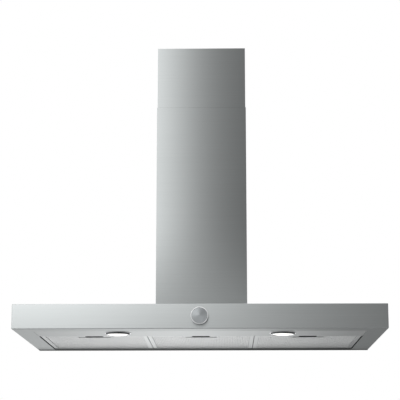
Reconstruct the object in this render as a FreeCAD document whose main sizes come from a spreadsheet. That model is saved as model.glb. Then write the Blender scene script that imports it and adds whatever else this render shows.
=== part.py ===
"""Wall mount range hood: slim box canopy, telescoping chimney, blower, filters, lamps and one knob.

Frame: +Z up, the wall is the plane y = 0, the front faces -Y and x = 0 is the middle.
z = 0 is the underside of the canopy's rim. Lengths are millimetres, angles are degrees.
"""
import FreeCAD, Part
import math
import os
import re

import Sketcher

SIZES = (
    ("canopy_width", 900, "overall width"),
    ("canopy_depth", 500, "wall to front face"),
    ("canopy_height", 60, "height of the front face"),
    ("sheet_steel", 1.2, "thickness of the canopy's sheets"),
    ("rim_width", 46, "in-turned rim at the front and sides"),
    ("rear_rim_width", 48, "in-turned rim at the wall"),
    ("seam", 0.6, "gap between neighbouring sheets"),
    ("overrun", 5, "how far a cut runs past its piece"),
    ("air_hole_side", 20, "chimney's sides to the hole in the canopy's top"),
    ("air_hole_front", 18, "chimney's front to that hole"),
    ("air_hole_back", 46, "wall to the hole in the canopy's top"),
    ("fold_radius", 1.6, "outer radius of the canopy's folded edges"),
    ("lamp_panel_depth", 109.4, "front to back of the lamp panel"),
    ("lap_width", 10, "how far the lamp panel laps over the rim"),
    ("flange_height", 24, "upturned rear edge of the lamp panel"),
    ("rear_lip_height", 18, "upturned edge of the rear rim"),
    ("rail_height", 16, "height of the side rails"),
    ("rail_foot", 12, "foot of the side rails"),
    ("filter_side_room", 2.75, "outer filters to the sides of their bay"),
    ("filter_gap", 1.6, "gap between neighbouring filters"),
    ("filter_height", 9, "thickness of a filter cassette"),
    ("filter_recess", 0.5, "filters above the underside"),
    ("filter_front_gap", 1.2, "lamp panel to the filters"),
    ("filter_strip", 10.5, "visible frame strip round the mesh"),
    ("filter_wall", 1, "sheet of the filter frame"),
    ("mesh_recess", 3.5, "mesh above the frame's lower face"),
    ("mesh_gap", 0.2, "play of the mesh in its frame"),
    ("bead_radius", 1.8, "rolled bead at the filter's rear edge"),
    ("bead_length", 36, "length of one bead"),
    ("bead_spacing", 150, "one bead to the other"),
    ("bead_tab", 1.2, "thickness of the tab that carries a bead"),
    ("pivot_gap", 0.3, "running gap round the beads"),
    ("rail_steel", 1.2, "thickness of the rear rail"),
    ("tray_width", 88, "finger latch tray, left to right"),
    ("tray_depth", 36, "finger latch tray, front to back"),
    ("tray_wall", 1, "wall of the latch tray"),
    ("tray_lip", 3, "lips under the latch slider"),
    ("tray_lip_steel", 0.6, "thickness of those lips"),
    ("slider_depth", 26, "latch slider, front to back"),
    ("slider_steel", 1.5, "thickness of the latch slider"),
    ("slider_gap", 0.3, "running gap round the slider"),
    ("finger_slot_width", 42.6, "finger slot, left to right"),
    ("finger_slot_depth", 20, "finger slot, front to back"),
    ("grip_height", 3.4, "turned-up edge of the finger slot"),
    ("tongue_width", 24, "latch tongue"),
    ("tongue_gap", 0.4, "latch tongue to the lamp panel's flange"),
    ("latch_travel", 5, "travel of the latch"),
    ("latch_slot_height", 4, "slot for the tongue in the flange"),
    ("latch_spring_radius", 2.2, "outer radius of the latch spring"),
    ("latch_spring_wire", 0.4, "radius of its wire"),
    ("latch_spring_turns", 5, "turns of the latch spring"),
    ("lamp_from_side", 248, "lamp axis from the canopy's side"),
    ("lamp_from_front", 90, "lamp axis from the front face"),
    ("bezel_radius", 33, "lamp trim, outer"),
    ("lens_radius", 25, "lamp lens"),
    ("bezel_drop", 3, "lamp trim below the panel"),
    ("lamp_hole_radius", 28.4, "hole in the lamp panel"),
    ("lamp_body_radius", 25.9, "lamp housing"),
    ("lamp_body_height", 30, "top of the lamp housing"),
    ("lamp_wall", 1.6, "wall of the lamp housing"),
    ("lamp_fit", 0.2, "play between lamp parts"),
    ("fin_depth", 3, "cooling grooves of the lamp housing"),
    ("fin_pitch", 4, "one cooling groove to the next"),
    ("fin_count", 3, "cooling grooves"),
    ("led_board_radius", 20, "board with the light emitters"),
    ("led_board_thick", 1.6, "thickness of that board"),
    ("led_board_level", 16, "height of that board"),
    ("clip_reach", 12, "how far a spring clip reaches over the panel"),
    ("clip_width", 9, "width of a spring clip"),
    ("clip_steel", 1, "thickness of a spring clip"),
    ("clip_height", 14, "height of a spring clip"),
    ("knob_radius", 21, "knob"),
    ("knob_length", 14, "knob, front to rear edge"),
    ("knob_level", 30, "height of the knob's axis"),
    ("knob_chamfer", 2.2, "turned bevel round the knob's face"),
    ("knob_wall", 2.4, "wall of the knob"),
    ("knob_standoff", 2.6, "knob's rear edge to the canopy"),
    ("knob_hub_radius", 7, "hub inside the knob"),
    ("knob_hub_back", 3, "hub's rear face inside the knob's rear edge"),
    ("push_travel", 2, "travel of the knob when it is pushed"),
    ("shaft_radius", 3, "knob shaft"),
    ("shaft_gap", 0.05, "running gap round the shafts"),
    ("bushing_radius", 5, "threaded neck of the switch"),
    ("bushing_reach", 3, "neck in front of the canopy"),
    ("bushing_play", 0.4, "hole in the canopy round the neck"),
    ("nut_radius", 8, "corner radius of the switch nut"),
    ("nut_thick", 2, "thickness of the switch nut"),
    ("switch_width", 32, "switch body, left to right and up"),
    ("switch_depth", 21.6, "switch body, front to back"),
    ("switch_wall", 4, "walls of the switch body"),
    ("plunger_radius", 8, "plunger disc"),
    ("plunger_thick", 3, "plunger disc, front to back"),
    ("plunger_front", 2, "plunger to the switch's front wall"),
    ("clip_ring_radius", 4.4, "retaining rings on the knob shaft"),
    ("clip_ring_thick", 1, "thickness of those rings"),
    ("end_play", 0.3, "play between plunger and rings"),
    ("switch_spring_radius", 6.2, "outer radius of the switch spring"),
    ("switch_spring_wire", 0.5, "radius of its wire"),
    ("switch_spring_turns", 3, "turns of the switch spring"),
    ("bracket_width", 48, "switch bracket, left to right"),
    ("bracket_foot", 15, "switch bracket under the canopy's top"),
    ("bracket_drop", 12, "lower edge of the switch bracket"),
    ("control_width", 96, "control box, left to right"),
    ("control_depth", 72, "control box, front to back"),
    ("control_drop", 26, "control box below the canopy's top"),
    ("control_wall", 1.6, "wall of the control box"),
    ("control_offset", 100, "control box axis from the middle"),
    ("control_back", 58, "control box from the front face"),
    ("board_thick", 1.6, "control board"),
    ("board_level", 8, "control board under the box's roof"),
    ("driver_width", 70, "lamp driver, left to right"),
    ("driver_depth", 34, "lamp driver, front to back"),
    ("driver_height", 22, "lamp driver"),
    ("driver_round", 3, "edge radius of the lamp driver"),
    ("plate_steel", 2, "thickness of the mounting plate"),
    ("plate_margin", 18, "mounting plate inside the chimney's sides"),
    ("plate_top", 430, "top of the mounting plate"),
    ("plate_foot", 40, "foot of the mounting plate on the canopy"),
    ("wall_hole_radius", 4.25, "wall fixing holes"),
    ("wall_hole_edge", 15, "wall fixing holes from the plate's sides"),
    ("wall_hole_rise", 310, "wall fixing holes, low to high"),
    ("wall_hole_low", 90, "height of the lower wall holes"),
    ("blower_back", 124, "blower axis from the wall"),
    ("blower_level", 170, "height of the blower axis"),
    ("scroll_radius", 104, "blower housing, outer"),
    ("scroll_wall", 2, "wall of the blower housing"),
    ("scroll_width", 150, "blower housing, left to right"),
    ("scroll_top", 300, "top of the blower housing"),
    ("inlet_radius", 66, "air inlet in each side"),
    ("cutoff_radius", 9, "rounded tongue inside the housing"),
    ("channel_height", 20, "channels that carry the blower"),
    ("channel_width", 130, "their length"),
    ("channel_low", 182, "height of the lower channel"),
    ("channel_rise", 80, "lower to upper channel"),
    ("motor_radius", 45, "motor"),
    ("motor_length", 62, "motor"),
    ("motor_cap", 6, "rounded ends of the motor"),
    ("motor_bore", 22, "depth of the shaft's bearing"),
    ("spider_radius", 80, "motor bracket, outer"),
    ("spider_ring", 11, "width of the bracket's ring"),
    ("spider_hub", 28, "radius of the bracket's hub"),
    ("spider_arm", 16, "width of the bracket's arms"),
    ("motor_shaft_radius", 4, "motor shaft"),
    ("motor_shaft_length", 66, "motor shaft"),
    ("impeller_radius", 86, "impeller, outer"),
    ("blade_depth", 12, "impeller blade, inwards"),
    ("blade_thick", 1.2, "impeller blade"),
    ("blade_count", 36, "impeller blades"),
    ("impeller_width", 124, "impeller, left to right"),
    ("impeller_ring", 3, "width of the end rings"),
    ("disc_thick", 2, "centre disc"),
    ("disc_offset", 2, "centre disc from the middle plane"),
    ("hub_radius", 12, "impeller hub"),
    ("hub_length", 22, "impeller hub"),
    ("impeller_nut_radius", 8, "corner radius of the impeller nut"),
    ("impeller_nut_thick", 6, "impeller nut"),
    ("spigot_radius", 75, "outlet collar, outer"),
    ("spigot_wall", 2, "wall of the outlet collar"),
    ("spigot_height", 60, "outlet collar above the housing"),
    ("spigot_flange", 9, "flange of the outlet collar"),
    ("spigot_flange_thick", 2.5, "thickness of that flange"),
    ("flap_level", 14, "flap pin above the housing"),
    ("flap_thick", 1.5, "thickness of a flap"),
    ("flap_gap", 0.6, "flap to the collar's wall"),
    ("flap_start", 6, "flap's straight edge from the pin"),
    ("flap_pin_radius", 1.5, "flap pin"),
    ("knuckle_radius", 2.6, "flap knuckles"),
    ("knuckle_length", 18, "length of a knuckle"),
    ("knuckle_gap", 1, "one knuckle to the next"),
    ("ledge_width", 4, "ledge that the flaps rest on"),
    ("ledge_thick", 2.5, "thickness of the ledge"),
    ("capacitor_radius", 15, "motor capacitor"),
    ("capacitor_height", 52, "motor capacitor"),
    ("capacitor_offset", 55, "capacitor from the middle"),
    ("capacitor_level", 320, "underside of the capacitor"),
    ("terminal_width", 64, "terminal box"),
    ("terminal_depth", 34, "terminal box"),
    ("terminal_height", 50, "terminal box"),
    ("terminal_offset", 55, "terminal box from the middle"),
    ("terminal_level", 320, "underside of the terminal box"),
    ("terminal_wall", 2, "wall of the terminal box"),
    ("gland_radius", 11, "cable gland"),
    ("gland_bore", 4.5, "cable hole in the gland"),
    ("gland_height", 20, "cable gland above its box"),
    ("chimney_width", 236, "lower chimney"),
    ("chimney_depth", 250, "lower chimney, wall to front"),
    ("chimney_height", 560, "each chimney section"),
    ("chimney_steel", 1, "thickness of the chimney's sheets"),
    ("chimney_return", 10, "in-turned rear edges of the chimney"),
    ("chimney_slip", 0.3, "running gap between the chimney sections"),
    ("chimney_show", 165, "upper section above the lower one"),
    ("upper_back", 1.5, "upper section's rear edge from the wall"),
    ("vent_height", 60, "vent slots near the top"),
    ("vent_width", 4, "width of a vent slot"),
    ("vent_pitch", 12, "one vent slot to the next"),
    ("vent_count", 12, "vent slots on each side"),
    ("vent_drop", 90, "top of the chimney to the vents' lower ends"),
    ("vent_back", 59, "wall to the first vent slot"),
    ("bracket_steel", 1.5, "thickness of the chimney brackets"),
    ("upper_bracket_margin", 23, "upper wall bracket's plate inside the chimney's sides"),
    ("upper_bracket_height", 40, "upper wall bracket"),
    ("upper_bracket_ear", 30, "ears of the upper wall bracket"),
    ("upper_bracket_drop", 8, "bracket below the chimney's top"),
    ("bracket_hole_radius", 3.25, "holes of the upper bracket"),
    ("bracket_hole_edge", 25, "holes of the upper bracket from its plate's ends"),
    ("foot_bracket_height", 20, "lower chimney brackets"),
    ("foot_bracket_foot", 14, "their feet"),
    ("foot_bracket_length", 60, "their length, front to back"),
    ("foot_bracket_back", 120, "wall to their middle"),
    ("screw_radius", 2, "shank of the screws"),
    ("screw_head_radius", 4, "head of the screws"),
    ("screw_head", 2.4, "thickness of the head"),
    ("screw_length", 9, "shank of the screws"),
    ("foot_screw_back", 22, "wall to the mounting foot's screws"),
    ("foot_screw_spacing", 150, "mounting foot's screws"),
)

document = FreeCAD.newDocument("range_hood")
sheet = document.addObject("Spreadsheet::Sheet", "sizes")
for row, (alias, amount, meaning) in enumerate(SIZES, 1):
    sheet.set(f"A{row}", meaning)
    sheet.set(f"B{row}", str(amount))
    sheet.setAlias(f"B{row}", alias)
document.recompute()

nodes = []
LINE_UP = {
    "x": FreeCAD.Rotation(FreeCAD.Vector(0, 1, 0), 90),
    "y": FreeCAD.Rotation(FreeCAD.Vector(1, 0, 0), -90),
    "z": FreeCAD.Rotation(),
}
ARM_ANGLES = (90, 210, 330)
SIDES = (("left", "-1"), ("right", "1"))
FILTERS = (("left", "-1"), ("centre", "0"), ("right", "1"))

FRONT = "(-canopy_depth)"
BAY = "(canopy_width / 2 - rim_width)"
PANEL_FRONT = "(-canopy_depth + rim_width + seam)"
PANEL_BACK = "(-canopy_depth + rim_width + seam + lamp_panel_depth)"
TOP_INSIDE = "(canopy_height - sheet_steel)"
FILTER_FRONT = f"({PANEL_BACK} + filter_front_gap)"
FILTER_TOP = "(filter_recess + filter_height)"
FILTER_PITCH = f"(2 * ({BAY} - filter_side_room) / {len(FILTERS)})"
FILTER_WIDE = f"({FILTER_PITCH} - filter_gap)"
LAMP_OFFSET = "(canopy_width / 2 - lamp_from_side)"
PLATE_WIDTH = "(chimney_width - 2 * plate_margin)"
UPPER_PLATE_WIDTH = "(chimney_width - 2 * upper_bracket_margin)"
SADDLE = "(bead_radius + pivot_gap + rail_steel)"
PIVOT_Y = f"(-rear_rim_width - {SADDLE})"
PIVOT_Z = "(filter_recess + filter_height / 2)"
FILTER_BACK = f"({PIVOT_Y} - {SADDLE} - pivot_gap)"
TRAY_BACK = f"({FILTER_FRONT} + tray_depth)"
SLIDER_LOW = "(filter_recess + tray_lip_steel + slider_gap)"
SLIDER_FRONT = f"({FILTER_FRONT} + tray_wall + slider_gap)"
SLIDER_BACK = f"({SLIDER_FRONT} + slider_depth)"
SLIDER_HALF = "(tray_width / 2 - tray_wall - slider_gap)"
KNOB_FRONT = f"({FRONT} - knob_standoff - knob_length)"
SWITCH_FRONT = f"({FRONT} + 2 * sheet_steel)"
CAVITY_FRONT = f"({SWITCH_FRONT} + switch_wall)"
PLUNGER_FRONT = f"({CAVITY_FRONT} + plunger_front)"
PLUNGER_BACK = f"({PLUNGER_FRONT} + plunger_thick)"
CAVITY_BACK = f"({SWITCH_FRONT} + switch_depth - switch_wall)"
CHIMNEY_TOP = "(canopy_height + chimney_height + chimney_show)"
HUB_LEFT_SHARE = 1 / 3
HUB_LEFT = f"(disc_offset - {HUB_LEFT_SHARE} * hub_length)"
HUB_RIGHT = f"(disc_offset + {1 - HUB_LEFT_SHARE} * hub_length)"
BLADE_ROOT_SHARE = 0.25
GLAND_FOOT_SHARE = 0.35
GLAND_NECK_SHARE = 0.75
MOTOR_LEFT = "(-scroll_width / 2)"
MOTOR_RIGHT = "(motor_length - scroll_width / 2)"
BLOWER_REAR = "(scroll_radius - blower_back)"


def formula(text):
    """The text, with the name of every size pointing at the sheet."""
    return re.sub(r"\b([a-z]\w*)\b(?!\()", r"sizes.\1", text)


def bind(thing, **texts):
    for name, text in texts.items():
        thing.setExpression(name.replace("_at_", ".Base."), formula(text))
    return thing


def box(name, across, deep, tall):
    """A block between pairs of formulas along X, Y and Z."""
    made = document.addObject("Part::Box", name)
    low, high = zip(across, deep, tall)
    spans = [f"({b}) - ({a})" for a, b in zip(low, high)]
    bind(made, Length=spans[0], Width=spans[1], Height=spans[2])
    return bind(made, Placement_at_x=low[0], Placement_at_y=low[1], Placement_at_z=low[2])


def rod(name, radius, axis, span, at):
    """A cylinder along an axis, between two formulas; at gives the other two coordinates in order."""
    made = document.addObject("Part::Cylinder", name)
    made.Placement = FreeCAD.Placement(FreeCAD.Vector(), LINE_UP[axis])
    place = dict(zip((letter for letter in "xyz" if letter != axis), at))
    place[axis] = span[0]
    bind(made, Radius=radius, Height=f"({span[1]}) - ({span[0]})")
    return bind(made, **{f"Placement_at_{letter}": text for letter, text in place.items()})


def hexagon(name, radius, axis, span, at):
    """A six-sided bar along an axis, such as a nut's outside."""
    made = document.addObject("Part::Prism", name)
    made.Polygon = 6
    made.Placement = FreeCAD.Placement(FreeCAD.Vector(), LINE_UP[axis])
    place = dict(zip((letter for letter in "xyz" if letter != axis), at))
    place[axis] = span[0]
    bind(made, Circumradius=radius, Height=f"({span[1]}) - ({span[0]})")
    return bind(made, **{f"Placement_at_{letter}": text for letter, text in place.items()})


def fuse(name, *shapes):
    made = document.addObject("Part::MultiFuse", name)
    made.Shapes = list(shapes)
    made.Refine = True
    return made


def cut(name, base, *tools):
    made = document.addObject("Part::Cut", name)
    made.Base = base
    made.Tool = tools[0] if len(tools) == 1 else fuse(f"{name}_tools", *tools)
    made.Refine = True
    return made


def common(name, one, other):
    made = document.addObject("Part::MultiCommon", name)
    made.Shapes = [one, other]
    return made


def group(name, *shapes):
    """Separate solids that share one node."""
    made = document.addObject("Part::Compound", name)
    made.Links = list(shapes)
    return made


def node(made, label):
    made.Label = label
    nodes.append(made)
    return made


def new_body(name):
    return document.addObject("PartDesign::Body", name)


def outline(body, plane, points, name):
    """A closed sketch on one of the body's planes, with every corner bound to a pair of formulas."""
    made = body.newObject("Sketcher::SketchObject", name)
    support = [f for f in body.Origin.OriginFeatures if getattr(f, "Role", "") == plane][0]
    made.AttachmentSupport = [(support, "")]
    made.MapMode = "FlatFace"
    turn = 2 * math.pi / len(points)
    start = [FreeCAD.Vector(math.cos(turn * i), math.sin(turn * i), 0) for i in range(len(points))]
    for i, corner in enumerate(start):
        made.addGeometry(Part.LineSegment(corner, start[(i + 1) % len(start)]))
    for i in range(len(start)):
        made.addConstraint(Sketcher.Constraint("Coincident", i, 2, (i + 1) % len(start), 1))
    for i, texts in enumerate(points):
        for kind, text, value in zip(("DistanceX", "DistanceY"), texts, (start[i].x, start[i].y)):
            index = made.addConstraint(Sketcher.Constraint(kind, -1, 1, i, 1, value))
            made.setExpression(f"Constraints[{index}]", formula(text))
    return made


def pad(body, profile, length, name):
    made = body.newObject("PartDesign::Pad", name)
    made.Profile = profile
    bind(made, Length=length)
    profile.Visibility = False
    return made


def turned(name, points, axis, at):
    """A body turned on a lathe: points are (radius, height), and the lathe's axis lies along axis."""
    body = new_body(name)
    profile = outline(body, "XZ_Plane", points, f"{name}_profile")
    made = body.newObject("PartDesign::Revolution", f"{name}_turning")
    made.Profile = profile
    made.ReferenceAxis = (profile, ["V_Axis"])
    made.Angle = 360
    body.Placement = FreeCAD.Placement(FreeCAD.Vector(), LINE_UP[axis])
    return bind(body, Placement_at_x=at[0], Placement_at_y=at[1], Placement_at_z=at[2])


def coil(name, radius, wire, turns, axis, span, at):
    """A compression spring between two formulas, its closed ends ground by its own round wire."""
    pitch = document.addObject("Part::Helix", f"{name}_helix")
    bind(pitch, Radius=f"{radius} - {wire}", Height=f"({span[1]}) - ({span[0]}) - 2 * {wire}")
    bind(pitch, Pitch=f"(({span[1]}) - ({span[0]}) - 2 * {wire}) / {turns}")
    section = document.addObject("Part::Circle", f"{name}_section")
    section.Placement = FreeCAD.Placement(FreeCAD.Vector(), LINE_UP["y"])
    bind(section, Radius=wire, Placement_at_x=f"{radius} - {wire}")
    made = document.addObject("Part::Sweep", name)
    made.Sections = [section]
    made.Spine = (pitch, ["Edge1"])
    made.Solid = True
    made.Frenet = True
    made.Placement = FreeCAD.Placement(FreeCAD.Vector(), LINE_UP[axis])
    place = dict(zip((letter for letter in "xyz" if letter != axis), at))
    place[axis] = f"({span[0]}) + {wire}"
    return bind(made, **{f"Placement_at_{letter}": text for letter, text in place.items()})


def screw_hole(name, axis, span, at):
    return rod(name, "screw_radius", axis, span, at)


def make_canopy_shell():
    """Folded box with its in-turned rim: open at the wall, with the air hole, screw and knob holes."""
    body = new_body("canopy_sheet")
    corners = (
        ("-canopy_width / 2", "-canopy_depth"),
        ("canopy_width / 2", "-canopy_depth"),
        ("canopy_width / 2", "-sheet_steel"),
        ("-canopy_width / 2", "-sheet_steel"),
    )
    block = pad(body, outline(body, "XY_Plane", corners, "canopy_plan"), "canopy_height", "canopy_block")
    document.recompute()
    chosen = []
    for i, edge in enumerate(block.Shape.Edges, 1):
        limits = edge.BoundBox
        at_rear = limits.YMin > -sheet.sheet_steel - sheet.overrun
        if not at_rear:
            chosen.append(f"Edge{i}")
    fold = body.newObject("PartDesign::Fillet", "canopy_folds")
    fold.Base = (block, chosen)
    bind(fold, Radius="fold_radius")
    side = "canopy_width / 2"
    inside = box(
        "canopy_inside",
        (f"-{side} + sheet_steel", f"{side} - sheet_steel"),
        (f"{FRONT} + sheet_steel", "overrun"),
        ("sheet_steel", TOP_INSIDE),
    )
    mouth = box(
        "canopy_mouth", (f"-{BAY}", BAY), (f"{FRONT} + rim_width", "overrun"), ("-overrun", "2 * sheet_steel")
    )
    air = box(
        "canopy_air_hole",
        ("-chimney_width / 2 + air_hole_side", "chimney_width / 2 - air_hole_side"),
        ("-chimney_depth + air_hole_front", "-air_hole_back"),
        (f"{TOP_INSIDE} - overrun", "canopy_height + overrun"),
    )
    neck = rod(
        "canopy_neck_hole",
        "bushing_radius + bushing_play",
        "y",
        (f"{FRONT} - overrun", f"{FRONT} + overrun"),
        ("0", "knob_level"),
    )
    screws = [
        screw_hole(f"canopy_screw_hole_{i}", "z", (f"{TOP_INSIDE} - overrun", "canopy_height + overrun"), at)
        for i, at in enumerate(foot_screw_places() + bracket_screw_places())
    ]
    node(cut("canopy_shell_cut", body, inside, mouth, air, neck, *screws), "canopy_shell")


def foot_screw_places():
    """Where screws join the mounting plate's foot to the canopy's top."""
    return [(f"{sign} * foot_screw_spacing / 2", "-foot_screw_back") for _, sign in SIDES]


def bracket_screw_places():
    """Where screws join the lower chimney's brackets to the canopy's top."""
    across = "(chimney_width / 2 - chimney_steel - bracket_steel - foot_bracket_foot / 2)"
    return [(f"{sign} * {across}", "-foot_bracket_back") for _, sign in SIDES]


def make_back_panel():
    """Rear wall of the canopy with the rear rim and its upturned lip."""
    half = f"({BAY} - seam)"
    wide = ("-canopy_width / 2", "canopy_width / 2")
    web = box("back_web", wide, ("-sheet_steel", "0"), ("0", "canopy_height"))
    rim = box("back_rim", (f"-{half}", half), ("-rear_rim_width", "0"), ("0", "sheet_steel"))
    lip = box(
        "back_lip",
        (f"-{half}", half),
        ("-rear_rim_width", "-rear_rim_width + sheet_steel"),
        ("0", "rear_lip_height"),
    )
    node(fuse("back_panel", web, rim, lip), "back_panel")


def make_lamp_panel():
    """Flush panel in front of the filters, lapped over the rim, with lamp holes and latch slots."""
    half = f"({BAY} - seam)"
    plate = box("lamp_plate", (f"-{half}", half), (PANEL_FRONT, PANEL_BACK), ("0", "sheet_steel"))
    flange = box(
        "lamp_flange", (f"-{half}", half), (f"{PANEL_BACK} - sheet_steel", PANEL_BACK), ("0", "flange_height")
    )
    front_lap = box(
        "lamp_front_lap",
        (f"-{BAY} - lap_width", f"{BAY} + lap_width"),
        (f"{PANEL_FRONT} - lap_width", f"{PANEL_FRONT} + lap_width"),
        ("sheet_steel", "2 * sheet_steel"),
    )
    side_laps = [
        box(
            f"lamp_side_lap_{side}",
            (f"{sign} * {BAY} - lap_width", f"{sign} * {BAY} + lap_width"),
            (f"{PANEL_FRONT} - lap_width", f"{PANEL_BACK} - rail_foot"),
            ("sheet_steel", "2 * sheet_steel"),
        )
        for side, sign in SIDES
    ]
    holes = [
        rod(
            f"lamp_hole_{side}",
            "lamp_hole_radius",
            "z",
            ("-overrun", "2 * overrun"),
            (f"{sign} * {LAMP_OFFSET}", f"{FRONT} + lamp_from_front"),
        )
        for side, sign in SIDES
    ]
    slots = [
        box(
            f"latch_slot_{side}",
            (
                f"{sign} * {FILTER_PITCH} - tongue_width / 2 - seam",
                f"{sign} * {FILTER_PITCH} + tongue_width / 2 + seam",
            ),
            (f"{PANEL_BACK} - overrun", f"{PANEL_BACK} + overrun"),
            ("sheet_steel", "sheet_steel + latch_slot_height"),
        )
        for side, sign in FILTERS
    ]
    sheets = fuse("lamp_sheets", plate, flange, front_lap, *side_laps)
    node(cut("lamp_panel", sheets, *holes, *slots), "lamp_panel")


def make_side_rails():
    """Angles on the side rims that close the filter bay left and right."""
    rails = []
    for side, sign in SIDES:
        inner, outer, foot = BAY, f"{BAY} + sheet_steel", f"{BAY} + rail_foot"
        span = (PANEL_BACK, "-rear_rim_width")
        ends = (f"-({outer})", f"-({inner})") if side == "left" else (inner, outer)
        feet = (f"-({foot})", f"-({inner})") if side == "left" else (inner, foot)
        web = box(f"side_rail_web_{side}", ends, span, ("sheet_steel", "rail_height"))
        base = box(f"side_rail_foot_{side}", feet, span, ("sheet_steel", "2 * sheet_steel"))
        rails.append(fuse(f"side_rail_{side}", web, base))
    node(group("filter_side_rails", *rails), "filter_side_rails")


def make_rear_rail():
    """Hooked rail on the rear lip: the filters' rolled beads lie in its trough."""
    half = f"({BAY} - seam)"
    span = (f"-{half}", half)
    outer = rod("saddle_outer", SADDLE, "x", span, (PIVOT_Y, PIVOT_Z))
    quarter = box(
        "saddle_quarter", span, (PIVOT_Y, f"{PIVOT_Y} + {SADDLE}"), (f"{PIVOT_Z} - {SADDLE}", PIVOT_Z)
    )
    web = box(
        "rear_rail_web",
        span,
        ("-rear_rim_width - rail_steel", "-rear_rim_width"),
        (PIVOT_Z, "rear_lip_height"),
    )
    past = (f"-{half} - overrun", f"{half} + overrun")
    trough = rod("saddle_trough", "bead_radius + pivot_gap", "x", past, (PIVOT_Y, PIVOT_Z))
    solid = fuse("rear_rail_solid", common("saddle_section", outer, quarter), web)
    node(cut("filter_rear_rail", solid, trough), "filter_rear_rail")


def filter_x(sign):
    return f"{sign} * {FILTER_PITCH}"


def make_filter_frame(side, sign):
    """Channel folded round the mesh, a notch for the latch tray, and two rolled beads at the rear."""
    x = filter_x(sign)

    def ring(name, inset, low, high):
        return box(
            f"{name}_{side}",
            (f"{x} - {FILTER_WIDE} / 2 + {inset}", f"{x} + {FILTER_WIDE} / 2 - {inset}"),
            (f"{FILTER_FRONT} + {inset}", f"{FILTER_BACK} - {inset}"),
            (low, high),
        )

    block = ring("filter_block", "0", "filter_recess", FILTER_TOP)
    channel = ring(
        "filter_channel", "filter_wall", "filter_recess + filter_wall", f"{FILTER_TOP} - filter_wall"
    )
    window = ring("filter_window", "filter_strip", "-overrun", f"{FILTER_TOP} + overrun")
    notch = box(
        f"filter_notch_{side}",
        (f"{x} - tray_width / 2", f"{x} + tray_width / 2"),
        (f"{FILTER_FRONT} - overrun", TRAY_BACK),
        ("-overrun", f"{FILTER_TOP} + overrun"),
    )
    shell = cut(f"filter_shell_{side}", block, channel, window, notch)
    beads = []
    for hand, shift in SIDES:
        middle = f"{x} + {shift} * bead_spacing / 2"
        span = (f"{middle} - bead_length / 2", f"{middle} + bead_length / 2")
        beads.append(rod(f"bead_{side}_{hand}", "bead_radius", "x", span, (PIVOT_Y, PIVOT_Z)))
        beads.append(
            box(
                f"bead_tab_{side}_{hand}",
                span,
                (f"{FILTER_BACK} - filter_wall", PIVOT_Y),
                (f"{PIVOT_Z} - bead_tab / 2", f"{PIVOT_Z} + bead_tab / 2"),
            )
        )
    node(fuse(f"filter_frame_{side}", shell, *beads), f"filter_frame_{side}")


def make_filter_mesh(side, sign):
    """Pack of expanded aluminium sheets, shown as one slab in its frame, cut round the latch tray."""
    x = filter_x(sign)
    inset = "(filter_wall + mesh_gap)"
    slab = box(
        f"mesh_slab_{side}",
        (f"{x} - {FILTER_WIDE} / 2 + {inset}", f"{x} + {FILTER_WIDE} / 2 - {inset}"),
        (f"{FILTER_FRONT} + {inset}", f"{FILTER_BACK} - {inset}"),
        ("filter_recess + mesh_recess", f"{FILTER_TOP} - {inset}"),
    )
    notch = box(
        f"mesh_notch_{side}",
        (f"{x} - tray_width / 2 - mesh_gap", f"{x} + tray_width / 2 + mesh_gap"),
        (f"{FILTER_FRONT} - overrun", f"{TRAY_BACK} + mesh_gap"),
        ("-overrun", f"{FILTER_TOP} + overrun"),
    )
    node(cut(f"filter_mesh_{side}", slab, notch), f"filter_mesh_{side}")


def make_latch_tray(side, sign):
    """Pressed tray that holds the finger latch: open below, with lips under the slider."""
    x = filter_x(sign)
    wide = (f"{x} - tray_width / 2", f"{x} + tray_width / 2")
    block = box(f"tray_block_{side}", wide, (FILTER_FRONT, TRAY_BACK), ("filter_recess", FILTER_TOP))
    inner = (f"{x} - tray_width / 2 + tray_wall", f"{x} + tray_width / 2 - tray_wall")
    clear = (f"{x} - tray_width / 2 + tray_wall + tray_lip", f"{x} + tray_width / 2 - tray_wall - tray_lip")
    deep = (f"{FILTER_FRONT} + tray_wall", f"{TRAY_BACK} - tray_wall")
    hollow = box(
        f"tray_hollow_{side}", inner, deep, ("filter_recess + tray_lip_steel", f"{FILTER_TOP} - tray_wall")
    )
    mouth = box(f"tray_mouth_{side}", clear, deep, ("-overrun", "filter_recess + overrun"))
    exit_slot = box(
        f"tray_exit_{side}",
        (f"{x} - tongue_width / 2 - slider_gap", f"{x} + tongue_width / 2 + slider_gap"),
        (f"{FILTER_FRONT} - overrun", f"{FILTER_FRONT} + overrun"),
        ("-overrun", f"{SLIDER_LOW} + slider_steel + slider_gap"),
    )
    node(cut(f"latch_tray_{side}", block, hollow, mouth, exit_slot), f"latch_tray_{side}")


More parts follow.
